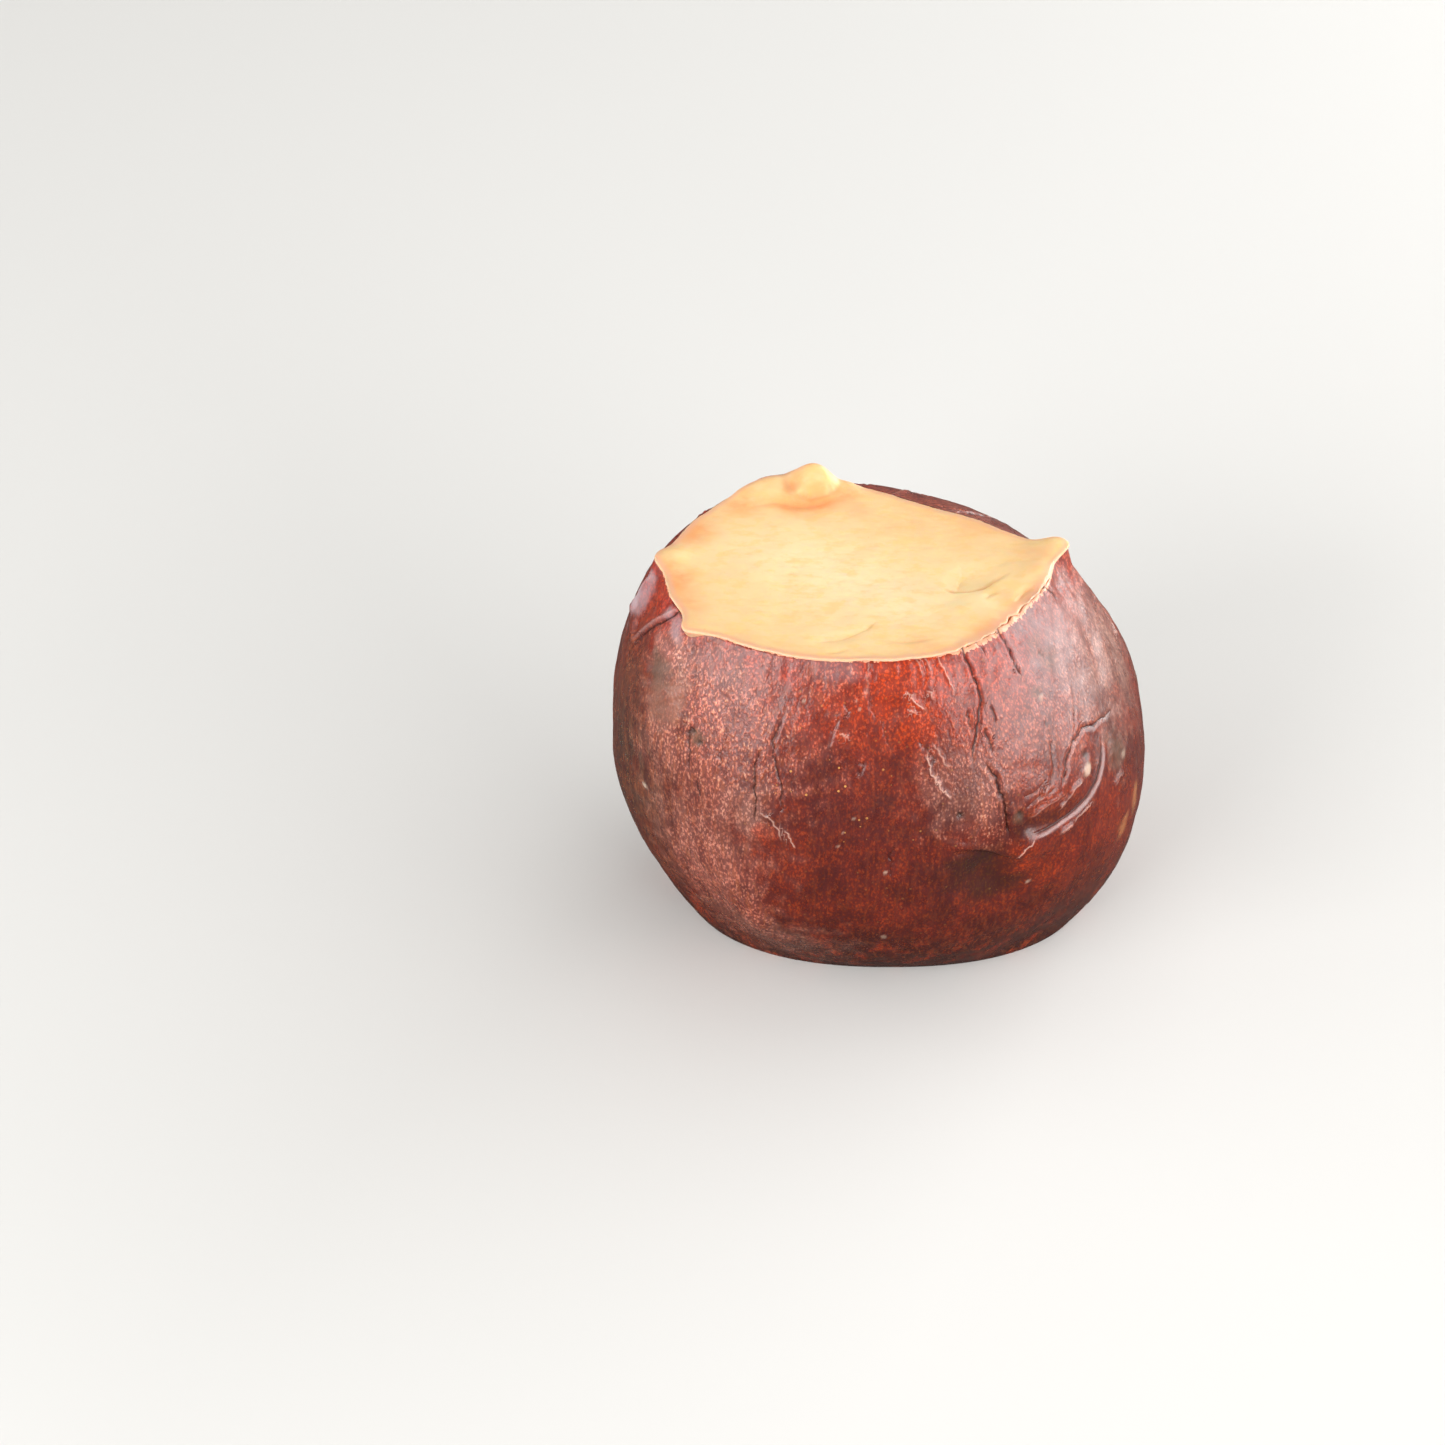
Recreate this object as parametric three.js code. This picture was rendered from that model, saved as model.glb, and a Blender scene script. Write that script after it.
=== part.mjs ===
// A chunk of simmered sweet potato with its skin on: a squat tuber, cut across at both ends, standing on its lower cut.
// One solid. Millimetres, +Z up, +X to the viewer's right and +Y away; the origin is the middle of the base.
import * as THREE from "three";

// Driving dimensions.
const HEIGHT = 45.1; // of the upper cut over the middle of the rim
const EQUATOR_HEIGHT = 20.6;
const EQUATOR = { halfX: 30.0, halfY: 28.2, squareness: 2.1, x: -1.4, y: 1.4 };
const BASE = { halfX: 23.2, halfY: 16.2, squareness: 2.3, x: 0.0, y: 0.0 };
const CUT_FALL = 0.08; // how much the upper cut falls towards +Y, per millimetre

// The upper cut's outline: its middle, its radius every 30 degrees from -180, and the corners that stand out of it.
const RIM_MIDDLE = { x: -3.6, y: -0.6 };
const RIM_RADII = [21.4, 21.7, 20.1, 18.9, 19.4, 18.9, 20.2, 16.1, 14.0, 15.9, 19.4, 20.1];
const RIM_CORNERS = [
  { angle: -146, width: 7, out: 2.5 },
  { angle: 7, width: 5, out: 2.8 },
  { angle: 178, width: 5, out: 1.2 },
];
const CORNER_POWER = 8; // how soon the corners fade down the side

// How the side leaves the equator: the power of its fall towards the upper cut, every 60 degrees from -180, and the
// power of its fall towards the base, with what it has more on +X.
const UPPER_POWERS = [2.45, 2.6, 1.9, 1.6, 2.5, 2.65];
const LOWER_POWER = 1.85;
const LOWER_POWER_RIGHT = 0.3;

// Relief of the skin: bells at an angle and a height, in degrees and millimetres; out is negative in a dent.
const SKIN_BELLS = [
  { angle: -121, z: 12.8, wide: 6, tall: 8, out: 0.9 },
  { angle: -141, z: 14.2, wide: 14, tall: 12, out: -0.7 },
  { angle: -97, z: 13.3, wide: 14, tall: 11, out: -0.6 },
  { angle: -66, z: 21.2, wide: 7, tall: 3.2, out: -1.7 },
  { angle: -56, z: 16.8, wide: 8, tall: 2.4, out: -0.7 },
  { angle: -58, z: 23.5, wide: 5, tall: 2.2, out: 0.9 },
  { angle: -88, z: 36.6, wide: 13, tall: 9, out: -0.6 },
  { angle: -52, z: 36, wide: 14, tall: 8, out: 0.5 },
  { angle: -149, z: 34, wide: 9, tall: 7, out: 0.5 },
  { angle: -165, z: 39.2, wide: 5, tall: 5, out: -0.6 },
  { angle: 38, z: 27, wide: 16, tall: 10, out: 0.7 },
  { angle: 72, z: 20, wide: 10, tall: 13, out: -0.9 },
  { angle: 112, z: 28, wide: 15, tall: 11, out: 0.6 },
  { angle: 146, z: 16, wide: 12, tall: 9, out: -0.8 },
];

// Long shallow swellings that run round and up the side: waves round, waves up, depth and phase.
const SWELLS = [
  { round: 3, up: 0.5, out: 0.35, phase: 0.6 },
  { round: 5, up: 0.9, out: 0.22, phase: 2.1 },
  { round: 8, up: 0.4, out: 0.14, phase: 4.0 },
];

// The curved folds at the right: arcs about one point of the unrolled side, outermost first.
const FOLDS = { angle: -50.5, z: 34.3, radius: 9.8, pitch: 2.7, count: 3, width: 1.1, out: 0.7, facing: -62, spread: 52 };

// Relief of the cut flesh: bells at a place on the cut, up is negative in a hollow.
const FLESH_BELLS = [
  { x: -9.2, y: 16.2, size: 2.3, up: 2.2 },
  { x: -13.6, y: 15.0, size: 2.6, up: 1.2 },
  { x: -9.8, y: 11.6, size: 2.8, up: -0.7 },
  { x: 17.8, y: 2.6, size: 2.2, up: 1.2 },
  { x: 13.0, y: -3.0, size: 3.4, up: 0.45 },
  { x: -24.6, y: 0.4, size: 1.8, up: 0.7 },
  { x: -3.0, y: -3.0, size: 12.0, up: -0.5 },
];
const LIP = { share: 0.95, width: 0.045, up: 0.35 };

// Fineness: columns round the side, and rows over the base, the side and the upper cut.
const COLUMNS = 96;
const BASE_ROWS = 1;
const SIDE_ROWS = 34;
const CUT_ROWS = 10;

const MEAN_RADIUS = (EQUATOR.halfX + EQUATOR.halfY) / 2;
const rad = THREE.MathUtils.degToRad;
const bell = (distance) => Math.exp(-distance * distance);

// The signed angle from one direction to another, in degrees, the short way round.
function turn(theta, degrees) {
  const off = THREE.MathUtils.radToDeg(theta) - degrees;
  return THREE.MathUtils.euclideanModulo(off + 180, 360) - 180;
}

function superellipse({ halfX, halfY, squareness }, theta) {
  const along = Math.abs(Math.cos(theta) / halfX) ** squareness;
  const across = Math.abs(Math.sin(theta) / halfY) ** squareness;
  return (along + across) ** (-1 / squareness);
}

// A smooth closed curve through values at equal angles, the first at -180 degrees.
function throughValues(values, theta) {
  const place = (THREE.MathUtils.euclideanModulo(turn(theta, 0) + 180, 360) / 360) * values.length;
  const first = Math.floor(place);
  const at = (k) => values[(first + k + values.length) % values.length];
  const t = place - first;
  const [a, b, c, d] = [at(-1), at(0), at(1), at(2)];
  const bend = (2 * a - 5 * b + 4 * c - d) * t * t + (3 * b - a - 3 * c + d) * t ** 3;
  return b + 0.5 * ((c - a) * t + bend);
}

function cornersOut(theta) {
  return RIM_CORNERS.reduce((sum, { angle, width, out }) => sum + out * bell(turn(theta, angle) / width), 0);
}

function rimRadius(theta) {
  return throughValues(RIM_RADII, theta) + cornersOut(theta);
}

function cutHeight(x, y) {
  const bells = FLESH_BELLS.map((b) => b.up * bell(Math.hypot(x - b.x, y - b.y) / b.size));
  return bells.reduce((sum, up) => sum + up, HEIGHT - CUT_FALL * y);
}

function rimPoint(theta) {
  const x = RIM_MIDDLE.x + rimRadius(theta) * Math.cos(theta);
  const y = RIM_MIDDLE.y + rimRadius(theta) * Math.sin(theta);
  return new THREE.Vector3(x, y, cutHeight(x, y));
}

function foldRelief(theta, z) {
  const along = rad(turn(theta, FOLDS.angle)) * MEAN_RADIUS;
  const up = z - FOLDS.z;
  const facing = turn(Math.atan2(up, along), FOLDS.facing);
  const reach = bell(facing / FOLDS.spread);
  let relief = 0;
  for (let k = 0; k < FOLDS.count; k++) {
    const off = Math.hypot(along, up) - (FOLDS.radius - k * FOLDS.pitch);
    const crest = bell(off / FOLDS.width) - 0.8 * bell((off + FOLDS.width * 1.3) / FOLDS.width);
    relief += (FOLDS.out / (1 + k)) * crest * reach;
  }
  return relief;
}

function skinRelief(theta, z) {
  let relief = foldRelief(theta, z);
  for (const b of SKIN_BELLS) {
    relief += b.out * bell(turn(theta, b.angle) / b.wide) * bell((z - b.z) / b.tall);
  }
  for (const s of SWELLS) {
    relief += s.out * Math.sin(s.round * theta + (s.up * z * Math.PI) / EQUATOR_HEIGHT + s.phase);
  }
  return relief;
}

// A point of the side: climb is -1 at the base, 0 at the equator and 1 at the upper cut.
function sidePoint(theta, climb) {
  const rim = rimPoint(theta);
  const upper = Math.max(climb, 0);
  const lower = Math.max(-climb, 0);
  const toRim = upper ** throughValues(UPPER_POWERS, theta);
  const toBase = lower ** (LOWER_POWER + LOWER_POWER_RIGHT * Math.cos(theta));
  const z = climb > 0 ? THREE.MathUtils.lerp(EQUATOR_HEIGHT, rim.z, upper) : EQUATOR_HEIGHT * (1 - lower);
  const toward = (equator, rimValue, base) => equator + (rimValue - equator) * toRim + (base - equator) * toBase;
  const fade = Math.min(1, 6 * (1 - Math.abs(climb)));
  const corners = cornersOut(theta) * upper ** CORNER_POWER;
  const smooth = toward(superellipse(EQUATOR, theta), throughValues(RIM_RADII, theta), superellipse(BASE, theta));
  const radius = smooth + corners + fade * skinRelief(theta, z);
  return new THREE.Vector3(
    toward(EQUATOR.x, RIM_MIDDLE.x, BASE.x) + radius * Math.cos(theta),
    toward(EQUATOR.y, RIM_MIDDLE.y, BASE.y) + radius * Math.sin(theta),
    z,
  );
}

// A point of the base: share is 0 in its middle and 1 at its edge.
function basePoint(theta, share) {
  const radius = share * superellipse(BASE, theta);
  return new THREE.Vector3(BASE.x + radius * Math.cos(theta), BASE.y + radius * Math.sin(theta), 0);
}

// A point of the upper cut: share is 1 at the rim and 0 in its middle.
function cutPoint(theta, share) {
  const x = RIM_MIDDLE.x + share * rimRadius(theta) * Math.cos(theta);
  const y = RIM_MIDDLE.y + share * rimRadius(theta) * Math.sin(theta);
  const lip = LIP.up * bell((share - LIP.share) / LIP.width) * Math.sign(1 - share);
  return new THREE.Vector3(x, y, cutHeight(x, y) + lip);
}

// The rows from the middle of the base, out, up the side and in to the middle of the upper cut.
function rows() {
  const made = [];
  for (let k = 0; k < BASE_ROWS; k++) made.push((theta) => basePoint(theta, k / BASE_ROWS));
  for (let k = 0; k <= SIDE_ROWS; k++) {
    const even = (2 * k) / SIDE_ROWS - 1;
    made.push((theta) => sidePoint(theta, even));
  }
  for (let k = 1; k <= CUT_ROWS; k++) {
    const share = 1 - (k / CUT_ROWS) ** 1.5;
    made.push((theta) => cutPoint(theta, share));
  }
  return made;
}

// A turned form, each of whose rings is then set to its row of the potato.
function potatoGeometry() {
  const ring = rows();
  const last = ring.length - 1;
  const profile = ring.map((_, k) => new THREE.Vector2(Math.sin((Math.PI * k) / last), k));
  const geometry = new THREE.LatheGeometry(profile, COLUMNS);
  const position = geometry.getAttribute("position");
  for (let column = 0; column <= COLUMNS; column++) {
    const theta = (2 * Math.PI * (column % COLUMNS)) / COLUMNS;
    for (let k = 0; k <= last; k++) {
      const p = ring[k](theta);
      position.setXYZ(column * ring.length + k, p.x, p.y, p.z);
    }
  }
  geometry.computeBoundingBox();
  const middle = geometry.boundingBox.getCenter(new THREE.Vector3());
  geometry.translate(-middle.x, -middle.y, 0);
  geometry.computeVertexNormals();
  return geometry;
}

const skin = new THREE.MeshStandardMaterial({ color: 0x6e2418, roughness: 0.35, metalness: 0 });
const potato = new THREE.Mesh(potatoGeometry(), skin);
potato.name = "sweet_potato";

const chunk = new THREE.Group();
chunk.add(potato);
export default chunk;
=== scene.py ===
"""A chunk of simmered sweet potato with its skin on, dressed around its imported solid.

Two closed pieces stand for the solid: the thin skin with its creases and folds, and the flesh inside
it, which shows at both cuts. Sizes are in millimetres until a mesh gets its places, in metres.
"""

import logging
import math
from dataclasses import dataclass
from enum import Enum

import bmesh
import bpy
import numpy as np
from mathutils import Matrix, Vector, noise


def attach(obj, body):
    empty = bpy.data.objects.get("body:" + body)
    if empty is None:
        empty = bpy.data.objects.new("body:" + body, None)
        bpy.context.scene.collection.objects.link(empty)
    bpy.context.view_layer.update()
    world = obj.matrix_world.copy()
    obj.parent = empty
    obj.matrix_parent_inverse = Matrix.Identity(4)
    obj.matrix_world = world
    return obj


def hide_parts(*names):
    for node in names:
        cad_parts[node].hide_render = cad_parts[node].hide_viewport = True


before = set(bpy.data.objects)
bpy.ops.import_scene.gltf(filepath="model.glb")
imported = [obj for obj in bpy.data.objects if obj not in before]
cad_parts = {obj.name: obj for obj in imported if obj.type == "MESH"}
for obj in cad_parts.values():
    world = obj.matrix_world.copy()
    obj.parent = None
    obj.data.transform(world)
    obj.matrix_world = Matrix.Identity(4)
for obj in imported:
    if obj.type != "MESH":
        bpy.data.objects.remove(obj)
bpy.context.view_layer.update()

LOG = logging.getLogger("sweet_potato")
NODE = "sweet_potato"
BODY = "root"
MM = 0.001  # metres in a millimetre
FRONT = -90  # degrees, the side that faces the camera

Array = np.ndarray
Fields = dict[str, np.ndarray]
Colour = tuple[float, float, float]
Path = tuple[tuple[float, float], ...]
Socket = bpy.types.NodeSocket
Tree = bpy.types.NodeTree
Inputs = dict[str | int, object]


def bell(distance: Array) -> Array:
    """A round bump, 1 high at distance 0 and gone at about 2."""
    return np.exp(-np.square(distance))


def turn(theta: Array, degrees: float) -> Array:
    """The angle from a direction in degrees to theta in radians, in degrees, the short way round."""
    return np.mod(np.degrees(theta) - degrees + 180, 360) - 180


def ease(value: Array, start: float, end: float) -> Array:
    """A smooth step from 0 at start to 1 at end, which may be below start."""
    share = np.clip((value - start) / (end - start), 0, 1)
    return share * share * (3 - 2 * share)


def outward(theta: Array) -> Array:
    """Level directions, one row of x, y and z for each angle."""
    return np.stack([np.cos(theta), np.sin(theta), np.zeros_like(theta)], axis=-1)


def through(values: tuple[float, ...], theta: Array) -> Array:
    """A smooth closed curve.

    Args:
        values: what it passes through at equal angles, the first at -180 degrees.
        theta: where it is read.

    Returns:
        The curve's values.
    """
    given = np.array(values)
    place = np.mod(turn(theta, 0) + 180, 360) / 360 * len(given)
    first = np.floor(place).astype(int)
    t = place - first
    a, b, c, d = (given[(first + k) % len(given)] for k in (-1, 0, 1, 2))
    bend = (2 * a - 5 * b + 4 * c - d) * t * t + (3 * b - a - 3 * c + d) * t**3
    return b + 0.5 * ((c - a) * t + bend)


def rough(places: Array, size: float, octaves: int, seed: float) -> Array:
    """Uneven relief without direction.

    Args:
        places: points, one row each.
        size: the width of the largest lumps.
        octaves: how many finer layers are added.
        seed: moves the pattern.

    Returns:
        One number for each point, between about -1 and 1.
    """
    shift = Vector((seed, seed * 1.7, seed * 0.6))
    return np.array([noise.fractal(Vector(p) + shift, 1.0, 2.0, octaves) for p in places / size])


def off_line(places: Array, ups: Array, line: Array) -> tuple[Array, Array]:
    """How far points are from a line, and which part of it they are at.

    Args:
        places: the points.
        ups: the directions out of the surface, which say which side is which.
        line: the line's points in order.

    Returns:
        The distance, positive at the left of the line, and the share along it.
    """
    best = np.full(len(places), np.inf)
    side, along = np.zeros((2, len(places)))
    for k, (start, end) in enumerate(zip(line, line[1:])):
        step = end - start
        offset = places - start
        share = np.clip(offset @ step / (step @ step), 0, 1)
        gap = offset - share[:, None] * step
        distance = np.linalg.norm(gap, axis=1)
        left = np.sum(np.cross(ups, step) * gap, axis=1)
        nearer = distance < best
        best = np.where(nearer, distance, best)
        side = np.where(nearer, np.where(left >= 0, distance, -distance), side)
        along = np.where(nearer, (k + share) / (len(line) - 1), along)
    return side, along


@dataclass(frozen=True)
class Outline:
    """A superellipse round a point of the plane."""

    half_x: float
    half_y: float
    squareness: float
    x: float
    y: float

    def radius(self, theta: Array) -> Array:
        """How far the outline is from its middle."""
        along = np.abs(np.cos(theta) / self.half_x) ** self.squareness
        return (along + np.abs(np.sin(theta) / self.half_y) ** self.squareness) ** (-1 / self.squareness)


@dataclass(frozen=True)
class SideBell:
    """A swelling of the side, or a dent where out is negative. Angle and wide are in degrees."""

    angle: float
    z: float
    wide: float
    tall: float
    out: float

    def at(self, theta: Array, z: Array) -> Array:
        """How far the side stands out here."""
        return self.out * bell(turn(theta, self.angle) / self.wide) * bell((z - self.z) / self.tall)


@dataclass(frozen=True)
class FaceBell:
    """A lump of the upper cut, or a hollow where up is negative."""

    x: float
    y: float
    size: float
    up: float

    def at(self, x: Array, y: Array) -> Array:
        """How high the lump is here."""
        return self.up * bell(np.hypot(x - self.x, y - self.y) / self.size)


def lumps(*rows: tuple[float, ...]) -> tuple[FaceBell, ...]:
    """Lumps from their x, y, size and height."""
    return tuple(FaceBell(*row) for row in rows)


@dataclass(frozen=True)
class Corner:
    """A point of the rim that stands out of the outline. Angle and width are in degrees."""

    angle: float
    width: float
    out: float


@dataclass(frozen=True)
class Swell:
    """A long shallow swelling."""

    waves_round: int
    waves_up: float
    out: float
    phase: float


@dataclass(frozen=True)
class Folds:
    """Curved folds about one point of the unrolled side, outermost first."""

    angle: float = -50.5
    z: float = 34.3
    radius: float = 9.8
    pitch: float = 2.7
    count: int = 3
    width: float = 1.1
    out: float = 0.2
    facing: float = -62
    spread: float = 52


SIDE_BELLS = (
    (-121, 12.8, 6, 8, 0.9), (-141, 14.2, 14, 12, -0.7), (-97, 13.3, 14, 11, -0.6), (-66, 21, 8, 4.4, -1.5),
    (-50, 28.5, 14, 4, 0.6), (-60, 15.5, 10, 4, -0.7), (-58, 23.5, 5, 2.2, 0.9), (-88, 36.6, 13, 9, -0.6),
    (-52, 36, 14, 8, 0.5), (-149, 34, 9, 7, 0.5), (-165, 39.2, 5, 5, -0.6), (38, 27, 16, 10, 0.7),
    (72, 20, 10, 13, -0.9), (112, 28, 15, 11, 0.6), (146, 16, 12, 9, -0.8),
)


@dataclass(frozen=True)
class TuberForm:
    """The form of the solid: the side from the lower cut to the upper one, and the upper cut."""

    height: float = 45.1
    equator_height: float = 20.6
    equator: Outline = Outline(30, 28.2, 2.1, -1.4, 1.4)
    base: Outline = Outline(23.2, 16.2, 2.3, 0, 0)
    cut_fall: float = 0.08  # how much the upper cut falls for each millimetre towards the back
    rim_x: float = -3.6
    rim_y: float = -0.6
    rim_radii: tuple[float, ...] = (21.4, 21.7, 20.1, 18.9, 19.4, 18.9, 20.2, 16.1, 14, 15.9, 19.4, 20.1)
    corners: tuple[Corner, ...] = (Corner(-146, 7, 1), Corner(7, 5, 2.8), Corner(178, 5, 1.2))
    corner_power: float = 8
    upper_powers: tuple[float, ...] = (2.45, 2.6, 1.9, 1.6, 2.5, 2.65)
    lower_power: float = 1.85
    lower_power_right: float = 0.3
    folds: Folds = Folds()
    side_bells: tuple[SideBell, ...] = tuple(SideBell(*row) for row in SIDE_BELLS)
    swells: tuple[Swell, ...] = (Swell(3, 0.5, 0.35, 0.6), Swell(5, 0.9, 0.22, 2.1), Swell(8, 0.4, 0.14, 4))
    face_bells: tuple[FaceBell, ...] = lumps(
        (-9.2, 16.2, 2.3, 2.2), (-13.6, 15, 2.6, 1.2), (-9.8, 11.6, 2.8, -0.7), (17.8, 2.6, 2.2, 1.2),
        (13, -3, 3.4, 0.45), (-24.6, 0.4, 1.8, 0.7), (-3, -3, 12, -0.5),
    )

    def corners_out(self, theta: Array) -> Array:
        """How far the rim's corners stand out."""
        return sum(c.out * bell(turn(theta, c.angle) / c.width) for c in self.corners)

    def rim_radius(self, theta: Array) -> Array:
        """The rim's distance from the rim's middle."""
        return through(self.rim_radii, theta) + self.corners_out(theta)

    def cut_height(self, x: Array, y: Array) -> Array:
        """The height of the upper cut over a place."""
        return self.height - self.cut_fall * y + sum(b.at(x, y) for b in self.face_bells)

    def cut(self, theta: Array, radius: Array) -> tuple[Array, Array]:
        """The x and y of a point of the upper cut, from the rim's middle."""
        return self.rim_x + radius * np.cos(theta), self.rim_y + radius * np.sin(theta)

    def rim_height(self, theta: Array) -> Array:
        """The height of the rim in each direction."""
        return self.cut_height(*self.cut(theta, self.rim_radius(theta)))

    def side_relief(self, theta: Array, z: Array) -> Array:
        """Everything that the solid's side has on its smooth form.

        Args:
            theta: the points' directions.
            z: their heights.

        Returns:
            How far the side stands out.
        """
        relief = sum(b.at(theta, z) for b in self.side_bells)
        for s in self.swells:
            wave = s.waves_round * theta + s.waves_up * z * math.pi / self.equator_height + s.phase
            relief += s.out * np.sin(wave)
        f = self.folds
        along = np.radians(turn(theta, f.angle)) * (self.equator.half_x + self.equator.half_y) / 2
        up = z - f.z
        reach = bell(turn(np.arctan2(up, along), f.facing) / f.spread)
        for k in range(f.count):
            off = np.hypot(along, up) - (f.radius - k * f.pitch)
            crest = bell(off / f.width) - 0.8 * bell((off + f.width * 1.3) / f.width)
            relief += f.out / (1 + k) * crest * reach
        return relief

    def side(self, theta: Array, climb: Array) -> Array:
        """Points of the side.

        Args:
            theta: the direction of each point.
            climb: -1 at the lower cut, 0 at the equator and 1 at the rim.

        Returns:
            One row of x, y and z for each point.
        """
        upper = np.maximum(climb, 0)
        lower = np.maximum(-climb, 0)
        to_rim = upper ** through(self.upper_powers, theta)
        to_base = lower ** (self.lower_power + self.lower_power_right * np.cos(theta))
        above = self.equator_height + (self.rim_height(theta) - self.equator_height) * upper
        z = np.where(climb > 0, above, self.equator_height * (1 - lower))

        def toward(equator: Array, rim: Array, base: Array) -> Array:
            """A value on the way from the equator to the rim or the base."""
            return equator + (rim - equator) * to_rim + (base - equator) * to_base

        radius = toward(self.equator.radius(theta), through(self.rim_radii, theta), self.base.radius(theta))
        radius += self.corners_out(theta) * upper**self.corner_power
        radius += np.minimum(1, 6 * (1 - np.abs(climb))) * self.side_relief(theta, z)
        x = toward(self.equator.x, self.rim_x, self.base.x) + radius * np.cos(theta)
        y = toward(self.equator.y, self.rim_y, self.base.y) + radius * np.sin(theta)
        return np.stack([x, y, z], axis=-1)

    def climb_at(self, theta: Array, z: Array) -> Array:
        """The climb of a point of the side from its height."""
        above = (z - self.equator_height) / (self.rim_height(theta) - self.equator_height)
        return np.where(z > self.equator_height, above, z / self.equator_height - 1)

    def side_normals(self, theta: Array, climb: Array, step: float = 1e-3) -> Array:
        """The outward directions of the side.

        Args:
            theta: the points' directions.
            climb: their climb.
            step: how far apart the points are that a direction is worked out from.

        Returns:
            One row for each point.
        """
        inner = np.clip(climb, step - 1, 1 - step)
        level = self.side(theta + step, inner) - self.side(theta - step, inner)
        upward = self.side(theta, inner + step) - self.side(theta, inner - step)
        across = np.cross(level, upward)
        return across / np.linalg.norm(across, axis=-1, keepdims=True)

    def middle(self, columns: int = 96, rows: int = 34) -> Array:
        """The middle of the solid's box, which its frame has at the origin.

        Args:
            columns: how many columns the solid has round its side.
            rows: how many rows it has up its side.

        Returns:
            The middle, level with the lower cut.
        """
        theta = np.repeat(np.arange(columns) * math.tau / columns, rows + 1)
        places = self.side(theta, np.tile(np.linspace(-1, 1, rows + 1), columns))
        return (places.min(axis=0) + places.max(axis=0)) / 2 * np.array([1, 1, 0])


class CreaseKind(Enum):
    """What a line in the skin looks like."""

    GROOVE = "a dark split with a low lip on both sides"
    RIDGE = "a thin raised line"
    # A fold's and an overlap's dark line is a painted shadow under the crest, and their crest carries a
    # painted highlight.
    FOLD = "a rounded crest with a valley at its left, going along the path"
    OVERLAP = "a thin crest over a hollow at its left, which rises gently beyond"
    VALLEY = "a soft hollow without a dark bottom"


GROOVE, RIDGE, FOLD, OVERLAP, VALLEY = CreaseKind


@dataclass(frozen=True)
class Crease:
    """A line in the skin, through points of angle in degrees and height."""

    kind: CreaseKind
    path: Path
    width: float
    depth: float
    tone: float = 1

    def relief(self, side: Array) -> Array:
        """How far the skin stands out.

        Args:
            side: the signed distance from the line.

        Returns:
            The height, negative in a hollow.
        """
        off = side / self.width
        shape = {
            GROOVE: 0.4 * bell(np.abs(off) - 1.9) - bell(off),
            RIDGE: bell(off),
            FOLD: bell(off) - 0.9 * bell((off - 1.5) / 0.7),
            OVERLAP: bell(off) - bell((off - 1.2) / np.where(off > 1.2, 6, 0.55)),
            VALLEY: -bell(off),
        }
        return self.depth * shape[self.kind]


class MarkKind(Enum):
    """What a spot on the skin is."""

    PIT = "a small dark hole"
    SCAB = "a grey-brown corky patch"
    TAN = "a patch where the brown shows through"
    PALE = "a pale fleck"
    GREY = "a dark dull patch"
    DULL = "a smooth pinkish brown patch"
    GOLD = "a patch with gold flecks"
    # The milky patches are a painted reflection of the lights, pale lavender on the left flap's facets and
    # at the upper right.
    MILK = "a milky patch"
    # The beige haze is a painted reflection of the lights, on the right flank and at the left.
    HAZE = "a wide patch under a pale beige haze"
    RUGGED = "a patch with a strong grain"
    # The pink bloom patches are partly the skin's pinker tone and partly a painted milky reflection of the
    # lights.
    BLOOM = "a wide patch under a pale pinkish bloom"
    MOSS = "a wide brown patch with olive and orange in it"
    PLUM = "a wide patch of purple-brown"
    EMBER = "a patch where orange glows through"
    # SHADE is painted shade: dark patches in the dent under the rugged skin, in the fold's hollow, low on
    # the right flank and at the left edge.
    SHADE = "a wide dark patch"


@dataclass(frozen=True)
class Mark:
    """A spot on the skin at an angle in degrees and a height, with its half sizes."""

    kind: MarkKind
    angle: float
    z: float
    wide: float
    tall: float
    strength: float


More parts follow.
